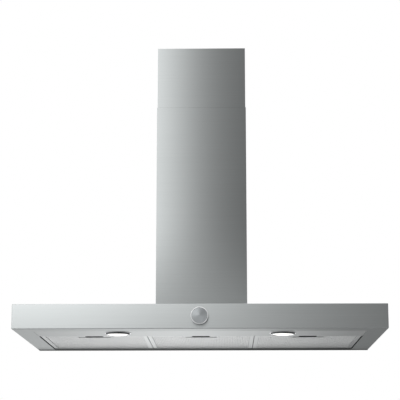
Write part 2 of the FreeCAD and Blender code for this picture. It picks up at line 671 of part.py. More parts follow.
def make_latch_slider(side, sign):
    """Sliding plate with the finger slot, its turned-up grip and the latch tongue."""
    x = filter_x(sign)
    high = f"{SLIDER_LOW} + slider_steel"
    middle = f"({SLIDER_FRONT} + slider_depth / 2)"
    plate = box(
        f"slider_plate_{side}",
        (f"{x} - {SLIDER_HALF}", f"{x} + {SLIDER_HALF}"),
        (SLIDER_FRONT, SLIDER_BACK),
        (SLIDER_LOW, high),
    )
    tongue = box(
        f"slider_tongue_{side}",
        (f"{x} - tongue_width / 2", f"{x} + tongue_width / 2"),
        (f"{PANEL_BACK} + tongue_gap", SLIDER_BACK),
        (SLIDER_LOW, high),
    )
    slot = box(
        f"finger_slot_{side}",
        (f"{x} - finger_slot_width / 2", f"{x} + finger_slot_width / 2"),
        (f"{middle} - finger_slot_depth / 2", f"{middle} + finger_slot_depth / 2"),
        ("-overrun", f"{high} + overrun"),
    )
    grip = box(
        f"finger_grip_{side}",
        (f"{x} - finger_slot_width / 2", f"{x} + finger_slot_width / 2"),
        (f"{middle} + finger_slot_depth / 2", f"{middle} + finger_slot_depth / 2 + slider_steel"),
        (SLIDER_LOW, f"{SLIDER_LOW} + grip_height"),
    )
    flat = cut(f"slider_flat_{side}", fuse(f"slider_sheet_{side}", plate, tongue), slot)
    node(fuse(f"latch_slider_{side}", flat, grip), f"latch_slider_{side}")


def make_latch_spring(side, sign):
    """Coil spring that pushes the latch slider forwards."""
    rest = f"{SLIDER_LOW} + latch_spring_radius"
    made = coil(
        f"latch_spring_{side}",
        "latch_spring_radius",
        "latch_spring_wire",
        "latch_spring_turns",
        "y",
        (f"{SLIDER_BACK} + slider_gap", f"{TRAY_BACK} - tray_wall - slider_gap"),
        (filter_x(sign), rest),
    )
    node(made, f"latch_spring_{side}")


def lamp_place(sign):
    return f"{sign} * {LAMP_OFFSET}", f"{FRONT} + lamp_from_front"


def make_lamp(side, sign):
    """Recessed spotlight: rounded trim ring, frosted lens and a finned housing."""
    x, y = lamp_place(sign)
    bezel = (
        ("lens_radius - lamp_wall", "-bezel_drop"),
        ("bezel_radius - bezel_drop / 2", "-bezel_drop"),
        ("bezel_radius", "-bezel_drop / 2"),
        ("bezel_radius", "0"),
        ("lamp_hole_radius - lamp_fit", "0"),
        ("lamp_hole_radius - lamp_fit", "sheet_steel"),
        ("lens_radius + lamp_fit", "sheet_steel"),
        ("lens_radius + lamp_fit", "-bezel_drop / 2"),
        ("lens_radius - lamp_wall", "-bezel_drop / 2"),
    )
    node(turned(f"lamp_bezel_{side}", bezel, "z", (x, y, "0")), f"lamp_bezel_{side}")
    lens = (
        ("0", "-bezel_drop / 2"),
        ("lens_radius", "-bezel_drop / 2"),
        ("lens_radius", "sheet_steel"),
        ("0", "sheet_steel"),
    )
    node(turned(f"lamp_lens_{side}", lens, "z", (x, y, "0")), f"lamp_lens_{side}")
    inner = "(lamp_body_radius - lamp_wall)"
    body = [("0", "lamp_body_height"), ("0", "led_board_level + led_board_thick")]
    body.append((inner, "led_board_level + led_board_thick"))
    body.append((inner, "sheet_steel"))
    body.append(("lamp_body_radius", "sheet_steel"))
    groove = "(lamp_body_radius - fin_depth)"
    for i in reversed(range(int(sheet.fin_count))):
        top = f"lamp_body_height - fin_pitch * {i} - fin_pitch / 2"
        body.append(("lamp_body_radius", f"{top} - fin_pitch / 2"))
        body.append((groove, f"{top} - fin_pitch / 2"))
        body.append((groove, top))
        body.append(("lamp_body_radius", top))
    body.append(("lamp_body_radius", "lamp_body_height"))
    node(turned(f"lamp_body_{side}", body, "z", (x, y, "0")), f"lamp_body_{side}")


def make_lamp_details():
    """The boards that hold the light emitters, and the spring clips that hold the lamps up."""
    boards = []
    clips = []
    for side, sign in SIDES:
        x, y = lamp_place(sign)
        span = ("led_board_level", "led_board_level + led_board_thick")
        boards.append(rod(f"led_board_{side}", "led_board_radius", "z", span, (x, y)))
        for hand, turn in SIDES:
            near, far = f"{x} + {turn} * lamp_body_radius", f"{x} + {turn} * (lamp_body_radius + clip_reach)"
            bend = f"{x} + {turn} * (lamp_body_radius + clip_steel)"
            if hand == "left":
                near, far, bend = far, near, bend
            deep = (f"{y} - clip_width / 2", f"{y} + clip_width / 2")
            thick = ("sheet_steel", "sheet_steel + clip_steel")
            arm = box(f"clip_arm_{side}_{hand}", (near, far), deep, thick)
            leg_span = (bend, far) if hand == "left" else (near, bend)
            leg = box(f"clip_leg_{side}_{hand}", leg_span, deep, ("sheet_steel", "sheet_steel + clip_height"))
            solid = fuse(f"lamp_clip_{side}_{hand}", arm, leg)
            room = rod(
                f"clip_room_{side}_{hand}",
                "lamp_body_radius + lamp_fit",
                "z",
                ("0", "lamp_body_height"),
                (x, y),
            )
            clips.append(cut(f"lamp_clip_bent_{side}_{hand}", solid, room))
    node(group("led_boards", *boards), "led_boards")
    node(group("lamp_clips", *clips), "lamp_clips")


def make_knob():
    """Turned metal knob with a bevelled face, hollow behind, on a central hub."""
    hollow = "(knob_radius - knob_wall)"
    points = (
        ("0", "0"),
        ("knob_radius - knob_chamfer", "0"),
        ("knob_radius", "knob_chamfer"),
        ("knob_radius", "knob_length"),
        (hollow, "knob_length"),
        (hollow, "knob_wall + knob_chamfer"),
        ("knob_hub_radius", "knob_wall + knob_chamfer"),
        ("knob_hub_radius", "knob_length - knob_hub_back"),
        ("shaft_radius", "knob_length - knob_hub_back"),
        ("shaft_radius", "knob_wall"),
        ("0", "knob_wall"),
    )
    node(turned("knob", points, "y", ("0", KNOB_FRONT, "knob_level")), "knob")


def make_knob_shaft():
    """Shaft from the knob into the switch, with two retaining rings that grip the plunger."""
    start = f"({KNOB_FRONT} + knob_wall)"
    front_ring = f"({PLUNGER_FRONT} - end_play - clip_ring_thick - {start})"
    front_ring_end = f"({PLUNGER_FRONT} - end_play - {start})"
    back_ring = f"({PLUNGER_BACK} + end_play - {start})"
    back_ring_end = f"({PLUNGER_BACK} + end_play + clip_ring_thick - {start})"
    points = (
        ("0", "0"),
        ("shaft_radius", "0"),
        ("shaft_radius", front_ring),
        ("clip_ring_radius", front_ring),
        ("clip_ring_radius", front_ring_end),
        ("shaft_radius", front_ring_end),
        ("shaft_radius", back_ring),
        ("clip_ring_radius", back_ring),
        ("clip_ring_radius", back_ring_end),
        ("0", back_ring_end),
    )
    node(turned("knob_shaft", points, "y", ("0", start, "knob_level")), "knob_shaft")


def make_switch():
    """Rotary push switch behind the canopy's front: body, plunger, spring, nut and bracket."""
    at = ("0", "knob_level")
    half = "switch_width / 2"
    case = box(
        "switch_case",
        (f"-{half}", half),
        (SWITCH_FRONT, f"{SWITCH_FRONT} + switch_depth"),
        (f"knob_level - {half}", f"knob_level + {half}"),
    )
    neck = rod("switch_neck", "bushing_radius", "y", (f"{FRONT} - bushing_reach", SWITCH_FRONT), at)
    bore = rod("switch_bore", "shaft_radius + shaft_gap", "y", (f"{FRONT} - 2 * overrun", CAVITY_FRONT), at)
    cavity = rod("switch_cavity", "plunger_radius + end_play", "y", (CAVITY_FRONT, CAVITY_BACK), at)
    node(cut("switch_body", fuse("switch_solid", case, neck), bore, cavity), "switch_body")
    disc = rod("plunger_disc", "plunger_radius", "y", (PLUNGER_FRONT, PLUNGER_BACK), at)
    eye = rod(
        "plunger_eye",
        "shaft_radius + shaft_gap",
        "y",
        (f"{PLUNGER_FRONT} - overrun", f"{PLUNGER_BACK} + overrun"),
        at,
    )
    node(cut("switch_plunger", disc, eye), "switch_plunger")
    spring = coil(
        "switch_spring",
        "switch_spring_radius",
        "switch_spring_wire",
        "switch_spring_turns",
        "y",
        (f"{PLUNGER_BACK} + end_play", f"{CAVITY_BACK} - end_play"),
        at,
    )
    node(spring, "switch_spring")
    nut = hexagon("switch_nut_outside", "nut_radius", "y", (f"{FRONT} - nut_thick", FRONT), at)
    thread = rod("switch_nut_thread", "bushing_radius", "y", (f"{FRONT} - overrun", f"{FRONT} + overrun"), at)
    node(cut("switch_nut", nut, thread), "switch_nut")
    wide = ("-bracket_width / 2", "bracket_width / 2")
    plate = box("bracket_plate", wide, (f"{FRONT} + sheet_steel", SWITCH_FRONT), ("bracket_drop", TOP_INSIDE))
    foot = box(
        "bracket_foot_plate",
        wide,
        (SWITCH_FRONT, f"{SWITCH_FRONT} + bracket_foot"),
        (f"{TOP_INSIDE} - sheet_steel", TOP_INSIDE),
    )
    eye = rod(
        "bracket_eye",
        "bushing_radius + bushing_play",
        "y",
        (f"{FRONT} - overrun", f"{SWITCH_FRONT} + overrun"),
        at,
    )
    node(cut("switch_bracket", fuse("bracket_sheet", plate, foot), eye), "switch_bracket")


def make_electronics():
    """Control box with its board and lid, and the lamps' driver, all under the canopy's top."""
    x = "(-control_offset)"
    wide = (f"{x} - control_width / 2", f"{x} + control_width / 2")
    near = f"({FRONT} + control_back)"
    deep = (near, f"{near} + control_depth")
    low = f"({TOP_INSIDE} - control_drop)"
    block = box("control_block", wide, deep, (low, TOP_INSIDE))
    hollow = box(
        "control_hollow",
        (f"{wide[0]} + control_wall", f"{wide[1]} - control_wall"),
        (f"{deep[0]} + control_wall", f"{deep[1]} - control_wall"),
        (f"{low} - overrun", f"{TOP_INSIDE} - control_wall"),
    )
    node(cut("control_box", block, hollow), "control_box")
    board_top = f"({TOP_INSIDE} - control_wall - board_level)"
    inset = "(control_wall + lamp_fit)"
    board = box(
        "control_board",
        (f"{wide[0]} + {inset}", f"{wide[1]} - {inset}"),
        (f"{deep[0]} + {inset}", f"{deep[1]} - {inset}"),
        (f"{board_top} - board_thick", board_top),
    )
    node(board, "control_board")
    node(box("control_lid", wide, deep, (f"{low} - control_wall", low)), "control_lid")
    span = ("control_offset - driver_width / 2", "control_offset + driver_width / 2")
    tall = (f"{TOP_INSIDE} - driver_height", TOP_INSIDE)
    body = box("driver_block", span, (near, f"{near} + driver_depth"), tall)
    document.recompute()
    rounded = document.addObject("Part::Fillet", "lamp_driver")
    rounded.Base = body
    upright = [
        i for i, edge in enumerate(body.Shape.Edges, 1) if edge.BoundBox.ZLength > sheet.driver_height / 2
    ]
    rounded.Edges = [(i, sheet.driver_round, sheet.driver_round) for i in upright]
    node(rounded, "lamp_driver")


def make_mount_plate():
    """Plate that is screwed to the wall, with a foot that the canopy hangs from."""
    half = f"{PLATE_WIDTH} / 2"
    upright = box("plate_upright", (f"-{half}", half), ("-plate_steel", "0"), ("canopy_height", "plate_top"))
    foot = box(
        "plate_foot_sheet",
        (f"-{half}", half),
        ("-plate_foot", "0"),
        ("canopy_height", "canopy_height + plate_steel"),
    )
    holes = [
        rod(
            f"wall_hole_{side}_{i}",
            "wall_hole_radius",
            "y",
            ("-plate_steel - overrun", "overrun"),
            (f"{sign} * ({half} - wall_hole_edge)", f"wall_hole_low + {i} * wall_hole_rise"),
        )
        for side, sign in SIDES
        for i in (0, 1)
    ]
    screws = [
        screw_hole(f"foot_screw_hole_{i}", "z", ("canopy_height - overrun", "canopy_height + overrun"), at)
        for i, at in enumerate(foot_screw_places())
    ]
    node(cut("mount_plate", fuse("plate_sheet", upright, foot), *holes, *screws), "mount_plate")


def make_blower_brackets():
    """Two channels that carry the blower on the mounting plate."""
    channels = []
    for i in (0, 1):
        low = f"(channel_low + {i} * channel_rise)"
        wide = ("-channel_width / 2", "channel_width / 2")
        block = box(
            f"channel_block_{i}", wide, (BLOWER_REAR, "-plate_steel"), (low, f"{low} + channel_height")
        )
        hollow = box(
            f"channel_hollow_{i}",
            (f"{wide[0]} - overrun", f"{wide[1]} + overrun"),
            (f"{BLOWER_REAR} + plate_steel", "-2 * plate_steel"),
            (f"{low} - overrun", f"{low} + channel_height - plate_steel"),
        )
        channels.append(cut(f"blower_channel_{i}", block, hollow))
    node(group("blower_brackets", *channels), "blower_brackets")


def make_blower_shell(side, sign):
    """Half of the moulded blower housing, with its air inlet and half of the outlet."""
    outer = "scroll_width / 2"
    span = (f"-{outer}", "0") if side == "left" else ("0", outer)
    inner_wall = f"({outer} - scroll_wall)"
    inner = (f"-{inner_wall}", "overrun") if side == "left" else ("-overrun", inner_wall)
    at = ("-blower_back", "blower_level")
    room = "(scroll_radius - scroll_wall)"
    barrel = rod(f"scroll_barrel_{side}", "scroll_radius", "x", span, at)
    chest = box(
        f"scroll_chest_{side}",
        span,
        ("-blower_back - scroll_radius", "-blower_back + scroll_radius"),
        ("blower_level", "scroll_top"),
    )
    barrel_room = rod(f"scroll_barrel_room_{side}", room, "x", inner, at)
    chest_room = box(
        f"scroll_chest_room_{side}",
        inner,
        (f"-blower_back - {room}", f"-blower_back + {room}"),
        ("blower_level", "scroll_top - scroll_wall"),
    )
    through = (f"-{outer} - overrun", f"{outer} + overrun")
    inlet = rod(f"scroll_inlet_{side}", "inlet_radius", "x", through, at)
    outlet = rod(
        f"scroll_outlet_{side}",
        "spigot_radius - spigot_wall",
        "z",
        ("scroll_top - 2 * overrun", "scroll_top + overrun"),
        ("0", "-blower_back"),
    )
    cutoff_at = (
        f"-blower_back + {room} - cutoff_radius + scroll_wall / 2",
        "blower_level + impeller_radius + cutoff_radius",
    )
    inner_span = (f"-{inner_wall}", "0") if side == "left" else ("0", inner_wall)
    cutoff = rod(f"scroll_cutoff_{side}", "cutoff_radius", "x", inner_span, cutoff_at)
    holes = [
        screw_hole(f"motor_screw_hole_{side}_{i}", "x", (f"-{outer} - overrun", f"-{outer} + overrun"), place)
        for i, place in enumerate(motor_screw_places())
    ]
    tools = [barrel_room, chest_room, inlet, outlet] + (holes if side == "left" else [])
    hollow = cut(f"scroll_hollow_{side}", fuse(f"scroll_solid_{side}", barrel, chest), *tools)
    node(fuse(f"blower_shell_{side}", hollow, cutoff), f"blower_shell_{side}")


def motor_screw_places():
    """Screws of the motor bracket, one at the end of each arm."""
    reach = "(spider_radius - spider_ring / 2)"
    return [
        (
            f"-blower_back + {reach} * {math.cos(math.radians(angle)):.6f}",
            f"blower_level + {reach} * {math.sin(math.radians(angle)):.6f}",
        )
        for angle in ARM_ANGLES
    ]


def make_motor():
    """Capacitor-run motor on a three-armed bracket over the left inlet."""
    at = ("-blower_back", "blower_level")
    plate = (f"{MOTOR_LEFT} - plate_steel", MOTOR_LEFT)
    past = (f"{plate[0]} - overrun", f"{plate[1]} + overrun")
    rim = rod("spider_rim", "spider_radius", "x", plate, at)
    window = rod("spider_window", "spider_radius - spider_ring", "x", past, at)
    hub = rod("spider_hub_disc", "spider_hub", "x", plate, at)
    arms = []
    for angle in ARM_ANGLES:
        arm = document.addObject("Part::Box", f"spider_arm_{angle}")
        arm.Placement = FreeCAD.Placement(FreeCAD.Vector(), FreeCAD.Rotation(FreeCAD.Vector(1, 0, 0), angle))
        shift = math.radians(angle)
        bind(arm, Length="plate_steel", Width="spider_radius - spider_ring / 2", Height="spider_arm")
        bind(
            arm,
            Placement_at_x=plate[0],
            Placement_at_y=f"-blower_back + spider_arm / 2 * {math.sin(shift):.6f}",
            Placement_at_z=f"blower_level - spider_arm / 2 * {math.cos(shift):.6f}",
        )
        arms.append(arm)
    holes = [screw_hole(f"spider_hole_{i}", "x", past, place) for i, place in enumerate(motor_screw_places())]
    ring = cut("spider_ring_plate", rim, window)
    node(cut("motor_bracket", fuse("spider_sheet", ring, hub, *arms), *holes), "motor_bracket")
    points = (
        ("0", "0"),
        ("motor_radius - motor_cap", "0"),
        ("motor_radius", "motor_cap"),
        ("motor_radius", "motor_length - motor_cap"),
        ("motor_radius - motor_cap", "motor_length"),
        ("motor_shaft_radius + shaft_gap", "motor_length"),
        ("motor_shaft_radius + shaft_gap", "motor_length - motor_bore"),
        ("0", "motor_length - motor_bore"),
    )
    node(turned("motor", points, "x", (MOTOR_LEFT, at[0], at[1])), "motor")


def make_impeller():
    """Double-inlet wheel: a hub on a slotted centre disc, a ring at each end and a drum of crimped blades."""
    at = ("-blower_back", "blower_level")
    half = "impeller_width / 2"
    inner = "(impeller_radius - blade_depth)"
    disc_span = ("disc_offset", "disc_offset + disc_thick")
    disc = rod("impeller_disc", "impeller_radius - blade_depth / 2", "x", disc_span, at)
    hub = rod("impeller_hub", "hub_radius", "x", (HUB_LEFT, HUB_RIGHT), at)
    rings = []
    for side, sign in SIDES:
        edge = f"({sign} * {half})"
        span = (edge, f"{edge} + impeller_ring") if side == "left" else (f"{edge} - impeller_ring", edge)
        solid = rod(f"impeller_ring_solid_{side}", "impeller_radius", "x", span, at)
        past = (f"{span[0]} - overrun", f"{span[1]} + overrun")
        room = rod(f"impeller_ring_room_{side}", inner, "x", past, at)
        rings.append(cut(f"impeller_ring_{side}", solid, room))
    blades = new_body("impeller_blades")
    root = f"({inner} + {BLADE_ROOT_SHARE} * impeller_ring)"
    corners = (
        (root, "-blade_thick / 2"),
        ("impeller_radius - impeller_ring / 2", "-blade_thick / 2"),
        ("impeller_radius - impeller_ring / 2", "blade_thick / 2"),
        (root, "blade_thick / 2"),
    )
    section = outline(blades, "XY_Plane", corners, "blade_section")
    blade = pad(blades, section, "impeller_width - 2 * impeller_ring", "blade")
    document.recompute()
    pattern = blades.newObject("PartDesign::PolarPattern", "blade_ring")
    pattern.Originals = [blade]
    pattern.Axis = (blade.Profile[0], ["N_Axis"])
    pattern.Angle = 360
    bind(pattern, Occurrences="blade_count")
    blades.Tip = pattern
    blades.Placement = FreeCAD.Placement(FreeCAD.Vector(), LINE_UP["x"])
    bind(blades, Placement_at_x=f"impeller_ring - {half}", Placement_at_y=at[0], Placement_at_z=at[1])
    eye = rod("impeller_eye", "motor_shaft_radius", "x", (f"-{half}", half), at)
    slotted = cut("impeller_slotted_disc", fuse("impeller_disc_and_hub", disc, hub), blades, eye)
    node(group("impeller", slotted, *rings, blades), "impeller")
    shaft_start = f"({MOTOR_RIGHT} - motor_bore + end_play)"
    shaft_span = (shaft_start, f"{shaft_start} + motor_shaft_length")
    shaft = rod("motor_shaft", "motor_shaft_radius", "x", shaft_span, at)
    node(shaft, "motor_shaft")
    nut_span = (HUB_RIGHT, f"{HUB_RIGHT} + impeller_nut_thick")
    nut = hexagon("impeller_nut_outside", "impeller_nut_radius", "x", nut_span, at)
    thread = rod("impeller_nut_thread", "motor_shaft_radius", "x", (f"-{half}", half), at)
    node(cut("impeller_nut", nut, thread), "impeller_nut")


def make_spigot():
    """Outlet collar on the blower, with the ledge that its two flaps rest on."""
    inner = "(spigot_radius - spigot_wall)"
    ledge_top = "(flap_level - flap_thick / 2 - pivot_gap)"
    points = (
        (inner, "0"),
        ("spigot_radius + spigot_flange", "0"),
        ("spigot_radius + spigot_flange", "spigot_flange_thick"),
        ("spigot_radius", "spigot_flange_thick"),
        ("spigot_radius", "spigot_height"),
        (inner, "spigot_height"),
        (inner, ledge_top),
        (f"{inner} - ledge_width", ledge_top),
        (f"{inner} - ledge_width", f"{ledge_top} - ledge_thick"),
        (inner, f"{ledge_top} - ledge_thick"),
    )
    collar = turned("spigot_collar", points, "z", ("0", "-blower_back", "scroll_top"))
    span = ("-spigot_radius", "spigot_radius")
    at = ("-blower_back", "scroll_top + flap_level")
    past = ("-spigot_radius - overrun", "spigot_radius + overrun")
    eye = rod("spigot_pin_hole", "flap_pin_radius", "x", past, at)
    room = (f"-{inner} + flap_gap", f"{inner} - flap_gap")
    ledge_room = rod("spigot_knuckle_room", "knuckle_radius + pivot_gap", "x", room, at)
    node(cut("outlet_spigot", collar, eye, ledge_room), "outlet_spigot")
    node(rod("flap_pin", "flap_pin_radius", "x", span, at), "flap_pin")


def make_flap(name, sign, first):
    """Half-moon back-draught flap with two knuckles on the common pin."""
    level = "(scroll_top + flap_level)"
    radius = "(spigot_radius - spigot_wall - flap_gap)"
    thick = (f"{level} - flap_thick / 2", f"{level} + flap_thick / 2")
    disc = rod(f"{name}_disc", radius, "z", thick, ("0", "-blower_back"))
    near, far = f"-blower_back + {sign} * flap_start", f"-blower_back + {sign} * {radius}"
    deep = (near, far) if sign == "1" else (far, near)
    half = box(f"{name}_half", (f"-{radius}", radius), deep, thick)
    pieces = [common(f"{name}_moon", disc, half)]
    for i in (0, 1):
        start = f"((knuckle_length + knuckle_gap) * {first + 2 * i - 2})"
        span = (start, f"{start} + knuckle_length")
        pieces.append(rod(f"{name}_knuckle_{i}", "knuckle_radius", "x", span, ("-blower_back", level)))
        tab = ("-blower_back", f"-blower_back + {sign} * (flap_start + flap_thick)")
        tab = tab if sign == "1" else (tab[1], tab[0])
        pieces.append(box(f"{name}_tab_{i}", span, tab, thick))
    eye = rod(
        f"{name}_eye", "flap_pin_radius + shaft_gap", "x", (f"-{radius}", radius), ("-blower_back", level)
    )
    node(cut(name, fuse(f"{name}_solid", *pieces), eye), name)


def make_wiring_boxes():
    """Motor capacitor, terminal box and its cable gland, on the mounting plate."""
    deep = ("-plate_steel - terminal_depth", "-plate_steel")
    x = "(-capacitor_offset)"
    can = rod(
        "capacitor",
        "capacitor_radius",
        "z",
        ("capacitor_level", "capacitor_level + capacitor_height"),
        (x, "-plate_steel - capacitor_radius"),
    )
    node(can, "capacitor")
    wide = ("terminal_offset - terminal_width / 2", "terminal_offset + terminal_width / 2")
    top = "(terminal_level + terminal_height)"
    block = box("terminal_block", wide, deep, ("terminal_level", top))
    hollow = box(
        "terminal_hollow",
        (f"{wide[0]} + terminal_wall", f"{wide[1]} - terminal_wall"),
        (f"{deep[0]} + terminal_wall", f"{deep[1]} - terminal_wall"),
        ("terminal_level + terminal_wall", f"{top} - terminal_wall"),
    )
    at = ("terminal_offset", "-plate_steel - terminal_depth / 2")
    eye = rod("terminal_eye", "gland_bore", "z", (f"{top} - overrun", f"{top} + overrun"), at)
    node(cut("terminal_box", block, hollow, eye), "terminal_box")
    foot = hexagon("gland_foot", "gland_radius", "z", (top, f"{top} + {GLAND_FOOT_SHARE} * gland_height"), at)
    neck = rod("gland_neck", f"{GLAND_NECK_SHARE} * gland_radius", "z", (top, f"{top} + gland_height"), at)
    bore = rod("gland_hole", "gland_bore", "z", (f"{top} - overrun", f"{top} + gland_height + overrun"), at)
    node(cut("cable_gland", fuse("gland_solid", foot, neck), bore), "cable_gland")


def channel_corners(half, front, back):
    """Plan of a chimney section: a channel open at the wall, with in-turned rear edges."""
    inner = f"({half} - chimney_steel)"
    tip = f"({half} - chimney_return)"
    outer = [(f"-{half}", back), (f"-{half}", front), (half, front), (half, back)]
    right = [(tip, back), (tip, f"{back} - chimney_steel"), (inner, f"{back} - chimney_steel")]
    middle = [(inner, f"{front} + chimney_steel"), (f"-{inner}", f"{front} + chimney_steel")]
    left = [
        (f"-{inner}", f"{back} - chimney_steel"),
        (f"-{tip}", f"{back} - chimney_steel"),
        (f"-{tip}", back),
    ]
    return outer + right + middle + left


def make_lower_chimney():
    """Fixed chimney section that stands on the canopy."""
    body = new_body("lower_chimney")
    corners = channel_corners("(chimney_width / 2)", "(-chimney_depth)", "0")
    pad(body, outline(body, "XY_Plane", corners, "lower_plan"), "chimney_height", "lower_channel")
    bind(body, Placement_at_z="canopy_height")
    node(body, "lower_chimney")


def make_upper_chimney():
    """Sliding chimney section with vent slots near its top."""
    slip = "(chimney_steel + chimney_slip)"
    body = new_body("upper_channel_body")
    corners = channel_corners(f"(chimney_width / 2 - {slip})", f"(-chimney_depth + {slip})", "(-upper_back)")
    pad(body, outline(body, "XY_Plane", corners, "upper_plan"), "chimney_height", "upper_channel")
    bind(body, Placement_at_z=f"{CHIMNEY_TOP} - chimney_height")
    row = []
    for i in range(int(sheet.vent_count)):
        row.append(
            box(
                f"vent_slot_{i}",
                ("-chimney_width / 2 - overrun", "chimney_width / 2 + overrun"),
                (f"-vent_back - vent_width - {i} * vent_pitch", f"-vent_back - {i} * vent_pitch"),
                (f"{CHIMNEY_TOP} - vent_drop", f"{CHIMNEY_TOP} - vent_drop + vent_height"),
            )
        )
    node(cut("upper_chimney", body, *row), "upper_chimney")


def make_upper_bracket():
    """Wall bracket at the chimney's top: a plate with an ear at each end."""
    top = f"({CHIMNEY_TOP} - upper_bracket_drop)"
    tall = (f"{top} - upper_bracket_height", top)
    half = f"({UPPER_PLATE_WIDTH} / 2)"
    inside = "(chimney_width / 2 - 2 * chimney_steel - chimney_slip)"
    rear = "(-upper_back - chimney_steel)"
    plate = box("upper_plate", (f"-{half}", half), ("-bracket_steel", "0"), tall)
    pieces = [plate]
    for side, sign in SIDES:
        left = side == "left"
        step_in = (f"-{half}", f"-{half} + bracket_steel") if left else (f"{half} - bracket_steel", half)
        pieces.append(box(f"upper_step_{side}", step_in, (f"{rear} - bracket_steel - seam", "0"), tall))
        run = (f"-{inside}", f"-{half} + bracket_steel") if left else (f"{half} - bracket_steel", inside)
        pieces.append(
            box(f"upper_run_{side}", run, (f"{rear} - bracket_steel - seam", f"{rear} - seam"), tall)
        )
        ear = (f"-{inside}", f"-{inside} + bracket_steel") if left else (f"{inside} - bracket_steel", inside)
        deep = (f"{rear} - seam - upper_bracket_ear", f"{rear} - seam")
        pieces.append(box(f"upper_ear_{side}", ear, deep, tall))
    holes = [
        rod(
            f"upper_hole_{side}",
            "bracket_hole_radius",
            "y",
            ("-bracket_steel - overrun", "overrun"),
            (f"{sign} * ({half} - bracket_hole_edge)", f"{top} - upper_bracket_height / 2"),
        )
        for side, sign in SIDES
    ]
    node(cut("upper_bracket", fuse("upper_bracket_sheet", *pieces), *holes), "upper_bracket")


def make_foot_brackets():
    """Angles that hold the lower chimney on the canopy."""
    inside = "(chimney_width / 2 - chimney_steel)"
    deep = (
        "-foot_bracket_back - foot_bracket_length / 2",
        "-foot_bracket_back + foot_bracket_length / 2",
    )
    pieces = []
    for side, sign in SIDES:
        wall = (f"{inside} - bracket_steel", inside)
        foot = (f"{inside} - bracket_steel - foot_bracket_foot", inside)
        if side == "left":
            wall = (f"-({wall[1]})", f"-({wall[0]})")
            foot = (f"-({foot[1]})", f"-({foot[0]})")
        web = box(f"foot_web_{side}", wall, deep, ("canopy_height", "canopy_height + foot_bracket_height"))
        base = box(f"foot_base_{side}", foot, deep, ("canopy_height", "canopy_height + bracket_steel"))
        pieces.append(fuse(f"foot_angle_{side}", web, base))
    tools = [
        screw_hole(f"foot_angle_hole_{i}", "z", ("canopy_height - overrun", "canopy_height + overrun"), at)
        for i, at in enumerate(bracket_screw_places())
    ]
    angles = [cut(f"foot_bracket_{i}", piece, tool) for i, (piece, tool) in enumerate(zip(pieces, tools))]
    node(group("chimney_brackets", *angles), "chimney_brackets")


def make_screws():
    """All the small screws, each a separate solid: into the canopy's top and into the blower's side."""
    made = []
    upward = f"({TOP_INSIDE} - screw_head)"
    for i, at in enumerate(foot_screw_places() + bracket_screw_places()):
        head = rod(f"screw_head_{i}", "screw_head_radius", "z", (upward, TOP_INSIDE), at)
        shank = rod(f"screw_shank_{i}", "screw_radius", "z", (TOP_INSIDE, f"{TOP_INSIDE} + screw_length"), at)
        made.append(fuse(f"screw_{i}", head, shank))
    start = f"({MOTOR_LEFT} - plate_steel)"
    for i, at in enumerate(motor_screw_places()):
        head = rod(f"motor_screw_head_{i}", "screw_head_radius", "x", (f"{start} - screw_head", start), at)
        shank = rod(
            f"motor_screw_shank_{i}", "screw_radius", "x", (start, f"{MOTOR_LEFT} + scroll_wall"), at
        )
        made.append(fuse(f"motor_screw_{i}", head, shank))
    node(group("screws", *made), "screws")


make_canopy_shell()
make_back_panel()
make_lamp_panel()
make_side_rails()
make_rear_rail()
for place, sign in FILTERS:
    make_filter_frame(place, sign)
    make_filter_mesh(place, sign)
    make_latch_tray(place, sign)
    make_latch_slider(place, sign)
    make_latch_spring(place, sign)
for place, sign in SIDES:
    make_lamp(place, sign)
make_lamp_details()
make_knob()
make_knob_shaft()
make_switch()
make_electronics()
make_mount_plate()
make_blower_brackets()
for place, sign in SIDES:
    make_blower_shell(place, sign)
make_motor()
make_impeller()
make_spigot()
make_flap("flap_front", "-1", 0)
make_flap("flap_rear", "1", 1)
make_wiring_boxes()
make_lower_chimney()
make_upper_chimney()
make_upper_bracket()
make_foot_brackets()
make_screws()
document.recompute()

failed = [thing.Name for thing in document.Objects if {"Invalid", "Error"} & set(thing.State)]
if failed:
    raise SystemExit(f"objects failed: {failed}")
for made in nodes:
    if made.Shape.isNull() or not made.Shape.isValid() or not made.Shape.Solids:
        raise SystemExit(f"{made.Label} has no valid solid")
os.makedirs("parts", exist_ok=True)
for made in nodes:
    made.Shape.exportStep(f"parts/{made.Label}.step")
print(len(nodes), "nodes written")
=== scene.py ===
import math

import bmesh
import bpy
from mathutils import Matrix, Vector


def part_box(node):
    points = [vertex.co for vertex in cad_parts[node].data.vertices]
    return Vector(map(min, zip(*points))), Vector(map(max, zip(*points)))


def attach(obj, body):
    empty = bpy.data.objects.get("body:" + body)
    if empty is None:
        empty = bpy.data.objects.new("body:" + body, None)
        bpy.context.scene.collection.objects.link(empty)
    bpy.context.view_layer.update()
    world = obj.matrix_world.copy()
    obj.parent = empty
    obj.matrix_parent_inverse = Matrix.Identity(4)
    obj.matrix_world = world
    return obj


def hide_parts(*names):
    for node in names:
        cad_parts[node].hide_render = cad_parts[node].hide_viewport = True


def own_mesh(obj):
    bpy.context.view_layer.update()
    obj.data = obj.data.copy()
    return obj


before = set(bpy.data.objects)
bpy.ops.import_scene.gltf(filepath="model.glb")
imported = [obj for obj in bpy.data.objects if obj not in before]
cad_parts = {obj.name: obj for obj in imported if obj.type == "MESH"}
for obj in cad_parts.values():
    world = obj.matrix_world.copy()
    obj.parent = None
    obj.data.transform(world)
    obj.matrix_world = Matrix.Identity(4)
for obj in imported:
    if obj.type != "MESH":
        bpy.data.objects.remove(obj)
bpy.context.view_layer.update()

# Mounting plate, the channels that carry the blower, and the chimney's brackets.
# They are bent from zinc-coated steel sheet, which shows as grey crystals a few millimetres wide.
# The plate is screwed to the wall, and everything else hangs on it.


